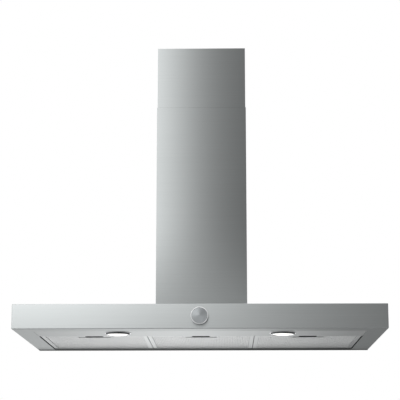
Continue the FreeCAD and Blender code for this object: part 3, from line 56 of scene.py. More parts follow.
def linear(code):
    """The linear colour of an sRGB hex value."""
    parts = [int(code[i : i + 2], 16) / 255 for i in (1, 3, 5)]
    return [c / 12.92 if c <= 0.04045 else ((c + 0.055) / 1.055) ** 2.4 for c in parts] + [1.0]


def add(tree, kind, inputs=None, **settings):
    """Adds a node with its settings. An input takes a value, a socket, or a node's first output."""
    made = tree.nodes.new(kind)
    for name, value in settings.items():
        setattr(made, name, value)
    for name, value in (inputs or {}).items():
        if isinstance(value, bpy.types.Node):
            value = next(output for output in value.outputs if output.enabled)
        if isinstance(value, bpy.types.NodeSocket):
            tree.links.new(value, made.inputs[name])
        else:
            made.inputs[name].default_value = value
    return made


def start(name, **values):
    """A new material: its tree and its shader, whose inputs take the values as they are."""
    material = bpy.data.materials.new(name)
    material.use_nodes = True
    shader = material.node_tree.nodes["Principled BSDF"]
    for key, value in values.items():
        shader.inputs[key.replace("_", " ")].default_value = value
    return material, material.node_tree, shader


def paint(shader, factor, first, last):
    """Colours a surface by a factor, between two pairs of (factor, hex colour)."""
    tree = shader.id_data
    ramp = add(tree, "ShaderNodeValToRGB", {"Fac": factor})
    for point, (place, code) in zip(ramp.color_ramp.elements, (first, last)):
        point.position = place
        point.color = linear(code)
    tree.links.new(ramp.outputs["Color"], shader.inputs["Base Color"])


def dress(material, *names):
    """Gives CAD nodes their finish."""
    for name in names:
        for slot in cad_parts[name].material_slots:
            slot.material = material


spangle = 0.007
zinc, tree, shader = start("galvanised_sheet", Metallic=1.0, Roughness=0.42)
place = add(tree, "ShaderNodeTexCoord").outputs["Object"]
crystals = add(tree, "ShaderNodeTexVoronoi", {"Scale": 1 / spangle, "Vector": place})
paint(shader, crystals.outputs["Color"], (0.1, "#B6BBBE"), (0.9, "#CDD1D3"))
dress(zinc, "mount_plate", "blower_brackets", "motor_bracket")
dress(zinc, "switch_bracket", "upper_bracket", "chimney_brackets")

# Blower housing: two moulded halves of glass-filled polypropylene, clipped together round the wheel.
# The mould leaves a fine spark-eroded grain, so the grey surface is matt and slightly mottled.


def moulded(name, dark, light, grain, roughness):
    """Moulded plastic between two close colours, with a mould grain of a real size."""
    material, tree, shader = start(name, Roughness=roughness)
    place = add(tree, "ShaderNodeTexCoord").outputs["Object"]
    # The mottling is about 8 cm wide, and the grain stands up by an eighth of its width.
    mottling = add(tree, "ShaderNodeTexNoise", {"Scale": 12.0, "Detail": 3.0, "Vector": place})
    paint(shader, mottling, (0.3, dark), (0.7, light))
    eroded = add(tree, "ShaderNodeTexNoise", {"Scale": 1 / grain, "Detail": 2.0, "Vector": place})
    bump = add(tree, "ShaderNodeBump", {"Strength": 0.25, "Distance": grain / 8, "Height": eroded})
    tree.links.new(bump.outputs["Normal"], shader.inputs["Normal"])
    return material


housing_plastic = moulded("glass_filled_polypropylene", "#54585B", "#5F6366", 0.0016, 0.5)
dress(housing_plastic, "blower_shell_left", "blower_shell_right")

# Motor and the lamps' housings: die-cast aluminium, with cooling slots and fins.
# The castings are tumbled, which leaves them pale grey, dull and faintly pitted.

pits_per_metre, clouds_per_metre = 900.0, 40.0
cast, tree, shader = start("tumbled_cast_aluminium", Metallic=1.0, Roughness=0.5)
place = add(tree, "ShaderNodeTexCoord").outputs["Object"]
pits = add(tree, "ShaderNodeTexNoise", {"Scale": pits_per_metre, "Detail": 3.0, "Vector": place})
cloud = add(tree, "ShaderNodeTexNoise", {"Scale": clouds_per_metre, "Detail": 2.0, "Vector": place})
paint(shader, cloud, (0.3, "#A2A5A8"), (0.7, "#B6B9BB"))
bump = add(tree, "ShaderNodeBump", {"Strength": 0.3, "Distance": 0.0002, "Height": pits})
tree.links.new(bump.outputs["Normal"], shader.inputs["Normal"])
dress(cast, "motor", "lamp_body_left", "lamp_body_right")

# Shafts, nuts, rings and screws: turned free-cutting steel, plated bright.
# Fine turning marks stay under the plating and make its colour a little uneven.


def plain_metal(name, dark, light, roughness, scratch, metallic=1.0):
    """Metal between two close colours, with fine marks of a real width."""
    material, tree, shader = start(name, Metallic=metallic, Roughness=roughness)
    place = add(tree, "ShaderNodeTexCoord").outputs["Object"]
    marks = add(tree, "ShaderNodeTexNoise", {"Scale": 1 / scratch, "Detail": 4.0, "Vector": place})
    paint(shader, marks, (0.3, dark), (0.7, light))
    return material


bright_steel = plain_metal("bright_plated_steel", "#BDC0C3", "#CBCED1", 0.24, 0.003)
dress(bright_steel, "motor_shaft", "impeller_nut", "flap_pin", "knob_shaft", "switch_nut", "screws")

# Springs and the lamps' clips: drawn wire and strip, left in the oily grey of the drawing die.
# The springs are wound, with closed end turns and the wire's ends cut flat.


def closed_mesh(name, shape):
    """The plain mesh of a closed shape, with its faces turned outwards."""
    bmesh.ops.recalc_face_normals(shape, faces=shape.faces)
    mesh = bpy.data.meshes.new(name)
    shape.to_mesh(mesh)
    shape.free()
    return mesh


def place_mesh(name, mesh, material, body, slot, *stands_for):
    """Links a finished mesh as a piece that rides on a body and stands for CAD nodes."""
    sharpest_smooth_edge = math.radians(32)
    mesh.materials.clear()
    mesh.materials.append(material)
    mesh.polygons.foreach_set("use_smooth", [True] * len(mesh.polygons))
    mesh.set_sharp_from_angle(angle=sharpest_smooth_edge)
    piece = bpy.data.objects.new(name, mesh)
    bpy.context.scene.collection.objects.link(piece)
    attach(piece, body)
    if stands_for:
        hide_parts(*stands_for)
    return piece


def middle(node):
    """The middle of a CAD node's box."""
    low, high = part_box(node)
    return (low + high) / 2


def coil_mesh(name, middle_x, middle_z, front, back, radius, wire, turns):
    """A compression spring along Y, two of its turns closed. wire is half the wire's thickness."""
    steps, sides = 26, 10
    closed_pitch = 2.1 * wire
    open_pitch = (back - front - 2 * wire - 2 * closed_pitch) / (turns - 2)
    along = Vector((0, 1, 0))
    around_wire = [2 * math.pi * j / sides for j in range(sides)]
    shape = bmesh.new()
    rings = []
    for i in range(turns * steps + 1):
        turn = i / steps
        closed_turns = min(turn, 1) + max(0, turn - turns + 1)
        y = front + wire + closed_pitch * closed_turns + open_pitch * (turn - closed_turns)
        angle = 2 * math.pi * turn
        outward = Vector((math.cos(angle), 0, math.sin(angle)))
        spot = Vector((middle_x, y, middle_z)) + outward * (radius - wire)
        skin = [spot + wire * (math.cos(a) * outward + math.sin(a) * along) for a in around_wire]
        rings.append([shape.verts.new(point) for point in skin])
    for ring, next_ring in zip(rings, rings[1:]):
        for j in range(sides):
            k = (j + 1) % sides
            shape.faces.new([ring[j], ring[k], next_ring[k], next_ring[j]])
    shape.faces.new(rings[0])
    shape.faces.new(rings[-1])
    return closed_mesh(name, shape)


spring_steel = plain_metal("drawn_spring_wire", "#838689", "#919497", 0.34, 0.002)
dress(spring_steel, "lamp_clips")
# Each row: node, body, joint, half the wire's thickness, turns, and the share left when pressed.
for node_name, body, joint, wire, turns, keep in (
    ("latch_spring_left", "left_filter", "left_latch_slide", 0.0004, 5, 0.3),
    ("latch_spring_centre", "centre_filter", "centre_latch_slide", 0.0004, 5, 0.3),
    ("latch_spring_right", "right_filter", "right_latch_slide", 0.0004, 5, 0.3),
    ("switch_spring", "hood", "knob_push", 0.0005, 3, 0.76),
):
    low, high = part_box(node_name)
    at = middle(node_name)
    mesh = coil_mesh(
        f"{node_name}_wound", at.x, at.z, low.y, high.y, (high.z - low.z) / 2, wire, turns
    )
    spring = place_mesh(f"{node_name}_wound", mesh, spring_steel, body, "spring_steel", node_name)
    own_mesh(spring)

# Fan wheel, outlet collar, flaps, switch and cable gland: black moulded plastic.
# The switch and the control box are moulded from the same grade as the fan's parts.

black_plastic = moulded("black_polypropylene", "#1B1D1F", "#242628", 0.0014, 0.45)
dress(black_plastic, "impeller", "outlet_spigot", "flap_front", "flap_rear")
dress(black_plastic, "switch_body", "switch_plunger", "cable_gland", "control_box", "control_lid")

# Capacitor, terminal box and lamp driver: flame-retardant plastic, moulded.
# It is a slightly warm white, and satin.

white_plastic = moulded("flame_retardant_nylon", "#DCDCD6", "#E8E8E3", 0.0018, 0.42)
dress(white_plastic, "capacitor", "terminal_box", "lamp_driver")

# Canopy: shell, rear panel and lamp panel, folded from stainless sheet and spot-welded, with black
# coated rails inside, whose black is also painted shade in the gaps beside the filters. The sheet is
# belt-ground along its length, which leaves fine parallel lines, and a satin gloss that smears
# reflections across the lines. A folded sheet bows a little.


def in_the_world(tree, direction):
    """A direction on the piece as it points once the piece has moved."""
    return add(
        tree,
        "ShaderNodeVectorTransform",
        {"Vector": direction},
        vector_type="VECTOR",
        convert_from="OBJECT",
        convert_to="WORLD",
    )


def brushed(name, colours, roughness, bow, lean, bow_middle=(0.0, 0.0, 0.0), held=None):
    """Belt-ground stainless steel, bowed by so much slope per metre along each axis.

    The bow is level at bow_middle. lean is a slope of all its faces, and held are the two heights
    between which the bow grows, on a sheet that is screwed flat at its foot."""
    material, tree, shader = start(name, Metallic=1.0, Roughness=roughness, Anisotropic=0.75)
    piece = add(tree, "ShaderNodeTexCoord").outputs
    place = piece["Object"]
    upright = add(tree, "ShaderNodeSeparateXYZ", {"Vector": piece["Normal"]}).outputs["Z"]
    flat = add(tree, "ShaderNodeMath", {0: upright}, operation="ABSOLUTE")
    # The lines are about 1 mm apart, coarser than real ones so that they show, and run level: along X
    # on the faces that lie flat.
    on_walls, on_flats = (5.0, 5.0, 900.0), (5.0, 900.0, 900.0)
    scale = add(tree, "ShaderNodeMix", {"Factor": flat, "A": on_walls, "B": on_flats}, data_type="VECTOR")
    stretched = add(tree, "ShaderNodeVectorMath", {0: place, 1: scale}, operation="MULTIPLY")
    lines = add(tree, "ShaderNodeTexNoise", {"Scale": 1.0, "Detail": 4.0, "Vector": stretched})
    paint(shader, lines, (0.25, colours[0]), (0.75, colours[1]))
    # The bow is a height of minus half the slope times the square of the distance.
    fall = [-slope / 2 for slope in bow]
    shift = add(tree, "ShaderNodeVectorMath", {0: place, 1: bow_middle}, operation="SUBTRACT")
    square = add(tree, "ShaderNodeVectorMath", {0: shift, 1: shift}, operation="MULTIPLY")
    height = add(tree, "ShaderNodeVectorMath", {0: square, 1: fall}, operation="DOT_PRODUCT")
    if held:
        level = add(tree, "ShaderNodeSeparateXYZ", {"Vector": place}).outputs["Z"]
        growth = add(
            tree,
            "ShaderNodeMapRange",
            {"Value": level, "From Min": held[0], "From Max": held[1]},
            interpolation_type="SMOOTHSTEP",
        )
        height = add(tree, "ShaderNodeMath", {0: height, 1: growth}, operation="MULTIPLY")
    away = [-slope for slope in lean]
    tilt = add(tree, "ShaderNodeVectorMath", {0: place, 1: away}, operation="DOT_PRODUCT")
    leaning = add(tree, "ShaderNodeMath", {0: tilt, 1: height})
    bowed = add(tree, "ShaderNodeBump", {"Strength": 1.0, "Distance": 1.0, "Height": leaning})
    ground = add(
        tree, "ShaderNodeBump", {"Strength": 0.04, "Distance": 0.0002, "Height": lines, "Normal": bowed}
    )
    tree.links.new(ground.outputs["Normal"], shader.inputs["Normal"])
    # The gloss smears across the lines: up on upright faces, and front to back on those that lie flat.
    upwards, backwards = (0.0, 0.0, 1.0), (0.0, 1.0, 0.0)
    across = add(
        tree, "ShaderNodeMix", {"Factor": flat, "A": upwards, "B": backwards}, data_type="VECTOR"
    )
    tree.links.new(in_the_world(tree, across).outputs["Vector"], shader.inputs["Tangent"])
    return material


steel_colours = ("#C8CCCC", "#CDD1D1")
# The rear colours are darker partly for the mill finish and partly as painted shade at the rear edge.
mill_and_shade_colours = ("#707474", "#787C7C")
sideways_bow = (0.06, 0.0, 0.0)
panel_steel = brushed(
    "belt_ground_panel_sheet", steel_colours, 0.3, bow=sideways_bow, lean=(0.0, 0.045, 0.0)
)
dress(panel_steel, "lamp_panel")
# The rear panel faces the wall and keeps the dull finish of the rolling mill. Its darker colour is
# also painted shade, for the shade along the rear edge next to the wall.
rear_steel = brushed(
    "mill_finish_rear_sheet_painted_shade", mill_and_shade_colours, 0.35, bow=sideways_bow, lean=(0.0, -0.08, 0.0)
)
dress(rear_steel, "back_panel")
shell_steel = brushed(
    "belt_ground_shell_sheet",
    steel_colours,
    0.3,
    bow=(0.06, 0.0, 1.2),
    lean=(0.0, -0.12, 0.0),
    bow_middle=(0.0, 0.0, 0.03),
)
dress(shell_steel, "canopy_shell")
# The rails' black is also painted shade: it darkens the gaps beside and behind the filters.
coated_steel = moulded("black_coated_steel_painted_gap_shade", "#1A1C1E", "#222426", 0.0012, 0.5)
dress(coated_steel, "filter_side_rails", "filter_rear_rail")

# Lamps: a chromed flange against the panel, a black gasket, whose black is also painted shade on the
# lamp's raised side, and a raised chromed ring that holds the frosted lens. Behind the panel each has a
# finned aluminium housing with spring clips, and the white board of the emitters.


def turned(name, outline, centre, axis, steps):
    """A mesh turned round an axis through the centre, from (radius, distance along it) points.

    The outline ends on the axis at both ends, or else it is closed to a ring."""
    along = {"y": Vector((0, 1, 0)), "z": Vector((0, 0, 1))}[axis]
    side = along.orthogonal().normalized()
    other = along.cross(side)
    angles = [2 * math.pi * i / steps for i in range(steps)]
    shape = bmesh.new()
    rings = []
    for radius, reach in outline:
        hub = Vector(centre) + along * reach
        if radius == 0:
            rings.append([shape.verts.new(hub)] * steps)
        else:
            round_it = [hub + radius * (math.cos(a) * side + math.sin(a) * other) for a in angles]
            rings.append([shape.verts.new(spot) for spot in round_it])
    pairs = list(zip(rings, rings[1:]))
    if outline[0][0] != 0:
        pairs.append((rings[-1], rings[0]))
    for ring, next_ring in pairs:
        for i in range(steps):
            k = (i + 1) % steps
            corners = [ring[i], ring[k], next_ring[k], next_ring[i]]
            shape.faces.new([v for j, v in enumerate(corners) if v not in corners[:j]])
    return closed_mesh(name, shape)


chrome = plain_metal("polished_chrome", "#D6D8DA", "#DEE0E2", 0.1, 0.006)
# The gasket's black also stands for shade: it paints the dark side wall round each lens.
gasket_and_rim_shade = moulded("black_lamp_gasket_painted_shade", "#141517", "#1A1B1D", 0.0012, 0.4)
# The lens is etched inside, so it glows evenly and hides the emitters.
frosted, tree, shader = start(
    "frosted_glass",
    Base_Color=linear("#F4F4F0"),
    Roughness=0.35,
    Emission_Color=linear("#FFFDF8"),
    Emission_Strength=1.1,
)
# The outlines are (radius, height) points, with the canopy's underside at height 0.
flange_outline = [
    (0.0330, 0.0),
    (0.0330, -0.0004),
    (0.0327, -0.0008),
    (0.0321, -0.0010),
    (0.0298, -0.0010),
    (0.0294, -0.0008),
    (0.0293, 0.0),
]
gasket_outline = [
    (0.0292, 0.0),
    (0.0292, -0.0028),
    (0.0288, -0.0030),
    (0.0270, -0.0030),
    (0.0270, 0.0),
]
ring_outline = [
    (0.0289, -0.0030),
    (0.0289, -0.0038),
    (0.0285, -0.0043),
    (0.0277, -0.0046),
    (0.0263, -0.0046),
    (0.0256, -0.0043),
    (0.0252, -0.0037),
    (0.0252, 0.0012),
    (0.0269, 0.0012),
    (0.0269, -0.0030),
]
lens_outline = [
    (0, -0.0065),
    (0.0050, -0.0064),
    (0.0100, -0.0060),
    (0.0150, -0.0053),
    (0.0200, -0.0044),
    (0.0235, -0.0036),
    (0.0250, -0.0030),
    (0.0250, 0.0011),
    (0, 0.0011),
]
for side in ("left", "right"):
    at = middle(f"lamp_lens_{side}")
    centre = (at.x, at.y, 0.0)
    for label, outline, finish, slot, stands_for in (
        ("flange", flange_outline, chrome, "chrome_trim", [f"lamp_bezel_{side}"]),
        ("gasket", gasket_outline, gasket_and_rim_shade, "black_plastic", []),
        ("ring", ring_outline, chrome, "chrome_trim", []),
        ("lens_domed", lens_outline, frosted, "lamp_glass", [f"lamp_lens_{side}"]),
    ):
        name = f"lamp_{label}_{side}"
        mesh = turned(name, outline, centre, "z", steps=128)
        place_mesh(name, mesh, finish, "hood", slot, *stands_for)
white_board = moulded("white_circuit_board", "#D8DCD6", "#E4E8E2", 0.002, 0.35)
dress(white_board, "led_boards")
green_board = moulded("green_circuit_board", "#1F5A36", "#2A6A42", 0.002, 0.35)
dress(green_board, "control_board")

# Knob: turned from aluminium bar. Its face is spun, so its grooves run in circles and the light
# makes a bow tie on it. A diamond-cut bevel runs round the face, coloured near-white as a painted
# glint, and the back is hollow.

knob_low, knob_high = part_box("knob")
knob_radius = (knob_high.x - knob_low.x) / 2
knob_centre = Vector((0.0, knob_low.y, middle("knob").z))
grooves_per_metre = 2500.0
spun, tree, shader = start("spun_aluminium", Metallic=1.0, Roughness=0.28, Anisotropic=0.85)
place = add(tree, "ShaderNodeTexCoord").outputs["Object"]
outward = add(tree, "ShaderNodeVectorMath", {0: place, 1: knob_centre}, operation="SUBTRACT")
flat = (1.0, 0.0, 1.0)
in_plane = add(tree, "ShaderNodeVectorMath", {0: outward, 1: flat}, operation="MULTIPLY")
reach = add(tree, "ShaderNodeVectorMath", {0: in_plane}, operation="LENGTH")
grooves = add(
    tree,
    "ShaderNodeTexNoise",
    {"Scale": grooves_per_metre, "Detail": 2.0, "W": reach},
    noise_dimensions="1D",
)
paint(shader, grooves, (0.3, "#A6AAAC"), (0.7, "#B6BABC"))
radial = add(tree, "ShaderNodeVectorMath", {0: in_plane}, operation="NORMALIZE")
tree.links.new(in_the_world(tree, radial).outputs["Vector"], shader.inputs["Tangent"])
# The face falls back by 1 mm from its middle to a narrow groove, and the bevel starts outside it.
bevel_start, bevel_depth, wall = 0.0189, 0.0028, 0.0024
bore, sleeve = 0.0031, 0.0070
knob_outline = [
    (0, 0.0),
    (0.0030, 0.00013),
    (0.0100, 0.0005),
    (0.0182, 0.0010),
    (0.0185, 0.0016),
    (bevel_start, 0.0016),
    (0.0192, 0.0010),
    (knob_radius - 0.0002, 0.0026),
    (knob_radius, 0.0030),
    (knob_radius, 0.0134),
    (knob_radius - 0.0005, 0.0140),
    (knob_radius - wall, 0.0140),
    (knob_radius - wall, 0.0036),
    (sleeve, 0.0036),
    (sleeve, 0.0110),
    (bore, 0.0110),
    (bore, 0.0036),
    (0, 0.0036),
]
mesh = turned("knob_turned", knob_outline, knob_centre, "y", steps=160)
knob = place_mesh("knob_turned", mesh, spun, "control_knob", "knob_metal", "knob")
# The bevel's near-white, partly metallic colour is a painted glint, bright all the way round.
bevel_painted_glint, tree, shader = start(
    "diamond_cut_aluminium_painted_glint", Base_Color=linear("#F6F7F8"), Metallic=0.35, Roughness=0.3
)
knob.data.materials.append(bevel_painted_glint)
for face in knob.data.polygons:
    from_middle = math.hypot(face.center.x - knob_centre.x, face.center.z - knob_centre.z)
    if face.center.y < knob_low.y + bevel_depth and from_middle > bevel_start:
        face.material_index = 1

# Grease filters: each a rolled steel frame round a pack of expanded aluminium. The pack has an open
# mesh on each side, slit and stretched from sheet so that its strands stand up a little, with a
# finer knitted pad between them, whose loops are about 2 mm wide.

filter_colours = ("#DCDFDF", "#E3E6E6")
filter_steel = brushed(
    "belt_ground_filter_steel", filter_colours, 0.3, bow=sideways_bow, lean=(0.0, 0.03, 0.0)
)
sides = ("left", "centre", "right")
dress(filter_steel, *[f"filter_frame_{side}" for side in sides])
# Strands thinner than a light beam scatter part of the light, so the mesh isn't wholly metallic.
strand_metallic = 0.65
mesh_metal = plain_metal("expanded_aluminium", "#E3E5E6", "#EEF0F0", 0.3, 0.002, strand_metallic)
pad_metal, tree, shader = start("knitted_aluminium_pad", Metallic=strand_metallic, Roughness=0.5)
place = add(tree, "ShaderNodeTexCoord").outputs["Object"]
loops_per_metre = 450.0
knit = add(
    tree,
    "ShaderNodeTexVoronoi",
    {"Scale": loops_per_metre, "Vector": place},
    feature="DISTANCE_TO_EDGE",
)
# Darker inside each loop: painted shade in the hollows between the wires.
paint(shader, knit, (0.0, "#E4E6E7"), (0.35, "#B4B7B9"))
bump = add(
    tree, "ShaderNodeBump", {"Strength": 0.5, "Distance": 0.0006, "Height": knit}, invert=True
)
tree.links.new(bump.outputs["Normal"], shader.inputs["Normal"])


def expanded_sheet_tree():
    """Geometry Nodes: a lattice of diamonds in a notched rectangle, each opened and its strands raised.

    Size and Cell are the rectangle's and a diamond's sides. Notch is half the notch's width and how
    far back it reaches, measured from the middle."""
    tree = bpy.data.node_groups.new("expanded_sheet", "GeometryNodeTree")
    face = tree.interface
    for label in ("Size", "Cell", "Notch", "Middle"):
        face.new_socket(label, in_out="INPUT", socket_type="NodeSocketVector")
    for label in ("Relief", "Opening"):
        face.new_socket(label, in_out="INPUT", socket_type="NodeSocketFloat")
    face.new_socket("Material", in_out="INPUT", socket_type="NodeSocketMaterial")
    face.new_socket("Geometry", in_out="OUTPUT", socket_type="NodeSocketGeometry")
    given = add(tree, "NodeGroupInput").outputs
    spot = add(tree, "GeometryNodeInputPosition")
    half_cell = add(tree, "ShaderNodeVectorMath", {0: given["Cell"], "Scale": 0.5}, operation="SCALE")

    # A square grid is turned by 45 degrees and stretched, so that each of its squares is a diamond.
    level = (1.0, 1.0, 0.0)
    cells = add(tree, "ShaderNodeVectorMath", {0: given["Size"], 1: given["Cell"]}, operation="DIVIDE")
    both_ways = add(tree, "ShaderNodeVectorMath", {0: cells, 1: level}, operation="DOT_PRODUCT")
    count = add(tree, "ShaderNodeMath", {0: both_ways}, operation="CEIL")
    lines = add(tree, "ShaderNodeMath", {0: count, 1: 1.0}, operation="ADD")
    grid = add(
        tree,
        "GeometryNodeMeshGrid",
        {"Size X": count, "Size Y": count, "Vertices X": lines, "Vertices Y": lines},
    )
    flat = add(tree, "ShaderNodeSeparateXYZ", {"Vector": spot}).outputs
    right = add(tree, "ShaderNodeMath", {0: flat["X"], 1: flat["Y"]}, operation="ADD")
    back = add(tree, "ShaderNodeMath", {0: flat["X"], 1: flat["Y"]}, operation="SUBTRACT")
    turned_spot = add(tree, "ShaderNodeCombineXYZ", {"X": right, "Y": back})
    stretched = add(tree, "ShaderNodeVectorMath", {0: turned_spot, 1: half_cell}, operation="MULTIPLY")
    lattice = add(tree, "GeometryNodeSetPosition", {"Geometry": grid, "Position": stretched})

    # Diamonds that would pass the rectangle, or reach into the notch, are left out.
    half_size = add(tree, "ShaderNodeVectorMath", {0: given["Size"], "Scale": 0.5}, operation="SCALE")
    room = add(tree, "ShaderNodeVectorMath", {0: half_size, 1: half_cell}, operation="SUBTRACT")
    mirrored = add(tree, "ShaderNodeVectorMath", {0: spot}, operation="ABSOLUTE")
    excess = add(tree, "ShaderNodeVectorMath", {0: mirrored, 1: room}, operation="SUBTRACT")
    excess = add(tree, "ShaderNodeSeparateXYZ", {"Vector": excess}).outputs
    most = add(tree, "ShaderNodeMath", {0: excess["X"], 1: excess["Y"]}, operation="MAXIMUM")
    past = add(tree, "ShaderNodeMath", {0: most, 1: 0.0}, operation="GREATER_THAN")
    limit = add(tree, "ShaderNodeVectorMath", {0: given["Notch"], 1: half_cell}, operation="ADD")
    limit = add(tree, "ShaderNodeSeparateXYZ", {"Vector": limit}).outputs
    beside = add(tree, "ShaderNodeSeparateXYZ", {"Vector": mirrored}).outputs["X"]
    near = add(tree, "ShaderNodeMath", {0: beside, 1: limit["X"]}, operation="LESS_THAN")
    before = add(tree, "ShaderNodeMath", {0: flat["Y"], 1: limit["Y"]}, operation="LESS_THAN")
    in_notch = add(tree, "ShaderNodeMath", {0: near, 1: before}, operation="MULTIPLY")
    left_out = add(tree, "ShaderNodeMath", {0: past, 1: in_notch}, operation="MAXIMUM")
    kept = add(
        tree,
        "GeometryNodeDeleteGeometry",
        {"Geometry": lattice, "Selection": left_out},
        domain="FACE",
    )

    # Each diamond is drawn in on itself and its middle taken out, which leaves the strands.
    drawn = add(
        tree, "GeometryNodeExtrudeMesh", {"Mesh": kept, "Offset Scale": 0.0, "Individual": True}
    )
    inner = drawn.outputs["Top"]
    shrunk = add(
        tree,
        "GeometryNodeScaleElements",
        {"Geometry": drawn, "Selection": inner, "Scale": given["Opening"]},
    )
    opened = add(
        tree, "GeometryNodeDeleteGeometry", {"Geometry": shrunk, "Selection": inner}, domain="FACE"
    )

    # The strands stand up in waves, one for each row of diamonds.
    rows = add(tree, "ShaderNodeVectorMath", {0: spot, 1: given["Cell"]}, operation="DIVIDE")
    row = add(tree, "ShaderNodeSeparateXYZ", {"Vector": rows}).outputs["Y"]
    phase = add(tree, "ShaderNodeMath", {0: row, 1: 2 * math.pi}, operation="MULTIPLY")
    wave = add(tree, "ShaderNodeMath", {0: phase}, operation="SINE")
    rise = add(tree, "ShaderNodeMath", {0: wave, 1: given["Relief"]}, operation="MULTIPLY")
    lift = add(tree, "ShaderNodeCombineXYZ", {"Z": rise})
    offset = add(tree, "ShaderNodeVectorMath", {0: lift, 1: given["Middle"]}, operation="ADD")
    raised = add(tree, "GeometryNodeSetPosition", {"Geometry": opened, "Offset": offset})
    plain = add(tree, "GeometryNodeRealizeInstances", {"Geometry": raised})
    painted = add(
        tree, "GeometryNodeSetMaterial", {"Geometry": plain, "Material": given["Material"]}
    )
    add(tree, "NodeGroupOutput", {"Geometry": painted})
    return tree


def made_by(name, tree, values, thickness):
    """The plain mesh that a Geometry Nodes tree gives with these inputs, once it is thickened."""
    holder = bpy.data.objects.new(name, bpy.data.meshes.new(name))
    bpy.context.scene.collection.objects.link(holder)
    nodes = holder.modifiers.new("nodes", "NODES")
    nodes.node_group = tree
    entries = [item for item in tree.interface.items_tree if item.in_out == "INPUT"]
    sockets = {item.name: item.identifier for item in entries}
    for label, value in values.items():
        nodes[sockets[label]] = value
    solid = holder.modifiers.new("thickness", "SOLIDIFY")
    solid.thickness = thickness
    solid.offset = 0.0
    bpy.context.view_layer.update()
    finished = holder.evaluated_get(bpy.context.evaluated_depsgraph_get())
    mesh = bpy.data.meshes.new_from_object(finished)
    bpy.data.objects.remove(holder)
    return mesh


def pad_mesh(name, low, high, notch_low, notch_high, bulge):
    """A pad cut round the latch tray, whose faces swell in shallow quilted waves between its edges."""
    middle_x = (low.x + high.x) / 2
    notch = (notch_high.x - notch_low.x) / 2
    half = (high.x - low.x) / 2
    wing_steps, tray_steps, front_steps, rear_steps = 14, 7, 6, 36
    wings = [notch + (half - notch) * i / wing_steps for i in range(wing_steps + 1)]
    between = [notch * i / tray_steps for i in range(1 - tray_steps, tray_steps)]
    across = [-x for x in reversed(wings)] + between + wings
    front = [low.y + (notch_high.y - low.y) * i / front_steps for i in range(front_steps)]
    rear_depth = high.y - notch_high.y
    along = front + [notch_high.y + rear_depth * i / rear_steps for i in range(rear_steps + 1)]
    shape = bmesh.new()
    points = [[shape.verts.new((middle_x + x, y, 0)) for x in across] for y in along]
    for j, (row, next_row) in enumerate(zip(points, points[1:])):
        for i in range(len(across) - 1):
            centre = (across[i] + across[i + 1]) / 2
            if abs(centre) > notch or j >= len(front):
                shape.faces.new([row[i], row[i + 1], next_row[i + 1], next_row[i]])
    loose = [vert for vert in shape.verts if not vert.link_faces]
    bmesh.ops.delete(shape, geom=loose, context="VERTS")
    under = list(shape.verts)
    rim = {(round(vert.co.x, 6), round(vert.co.y, 6)) for vert in under if vert.is_boundary}
    faces = list(shape.faces)
    raised = bmesh.ops.extrude_face_region(shape, geom=faces, use_keep_orig=True)["geom"]
    upper = [item for item in raised if isinstance(item, bmesh.types.BMVert)]
    waves_per_metre = 95 / (2 * math.pi)
    for vert in under + upper:
        on_rim = (round(vert.co.x, 6), round(vert.co.y, 6)) in rim
        across_wave = math.sin(2 * math.pi * waves_per_metre * vert.co.x)
        along_wave = math.sin(2 * math.pi * waves_per_metre * vert.co.y)
        quilt = 0.6 + 0.4 * across_wave * along_wave
        swell = 0.0 if on_rim else bulge * quilt
        vert.co.z = low.z + bulge - swell
    for vert in upper:
        vert.co.z = high.z - (vert.co.z - low.z)
    return closed_mesh(name, shape)


expanded_sheet = expanded_sheet_tree()
flange_steel = 0.001
strand_thickness, strand_relief, strand_room = 0.00028, 0.00012, 0.0004
edge_play, tray_play = 0.0002, 0.0003
pad_inset = Vector((0.0004, 0.0004, 0.0007))
pad_tray_room = Vector((0.0005, 0.0005, 0))
pad_bulge = 0.0004
for side in sides:
    low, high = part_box(f"filter_mesh_{side}")
    low.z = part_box(f"filter_frame_{side}")[0].z + flange_steel
    tray_low, tray_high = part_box(f"latch_tray_{side}")
    at = (low + high) / 2
    half_tray = (tray_high.x - tray_low.x) / 2
    shared = {
        "Size": (high.x - low.x - 2 * edge_play, high.y - low.y - 2 * edge_play, 0.0),
        "Notch": (half_tray + tray_play, tray_high.y + tray_play - at.y, 0.0),
        "Relief": strand_relief,
        "Material": mesh_metal,
    }
    under = {
        "Cell": (0.0042, 0.0058, 0.0),
        "Middle": (at.x, at.y, low.z + strand_room),
        "Opening": 0.55,
    }
    over = {
        "Cell": (0.0104, 0.0062, 0.0),
        "Middle": (at.x, at.y, high.z - strand_room),
        "Opening": 0.72,
    }
    for label, own in (("under", under), ("over", over)):
        name = f"filter_{label}_sheet_{side}"
        sheet = made_by(name, expanded_sheet, {**shared, **own}, strand_thickness)
        stands_for = [f"filter_mesh_{side}"] if label == "under" else []
        place_mesh(name, sheet, mesh_metal, f"{side}_filter", "filter_mesh", *stands_for)
    pad = pad_mesh(
        f"filter_pad_{side}",
        low + pad_inset,
        high - pad_inset,
        tray_low - pad_tray_room,
        tray_high + pad_tray_room,
        pad_bulge,
    )
    place_mesh(f"filter_pad_{side}", pad, pad_metal, f"{side}_filter", "filter_mesh")

# Finger latches: a tray and a slider of the same steel as the frame. A thin black moulded cup
# lines the slider's slot, so that no finger touches the sheet's edges. Its black is also painted
# shade for the dark inside of the slot.

dress(filter_steel, *[f"latch_tray_{side}" for side in sides])
dress(filter_steel, *[f"latch_slider_{side}" for side in sides])


def rounded(half_width, half_depth, radius, steps=6):
    """Points round a rectangle with rounded corners."""
    points = []
    for corner, (x, y) in enumerate(((1, 1), (-1, 1), (-1, -1), (1, -1))):
        corner_x = x * (half_width - radius)
        corner_y = y * (half_depth - radius)
        for i in range(steps + 1):
            angle = math.pi / 2 * (corner + i / steps)
            points.append((corner_x + radius * math.cos(angle), corner_y + radius * math.sin(angle)))
    return points


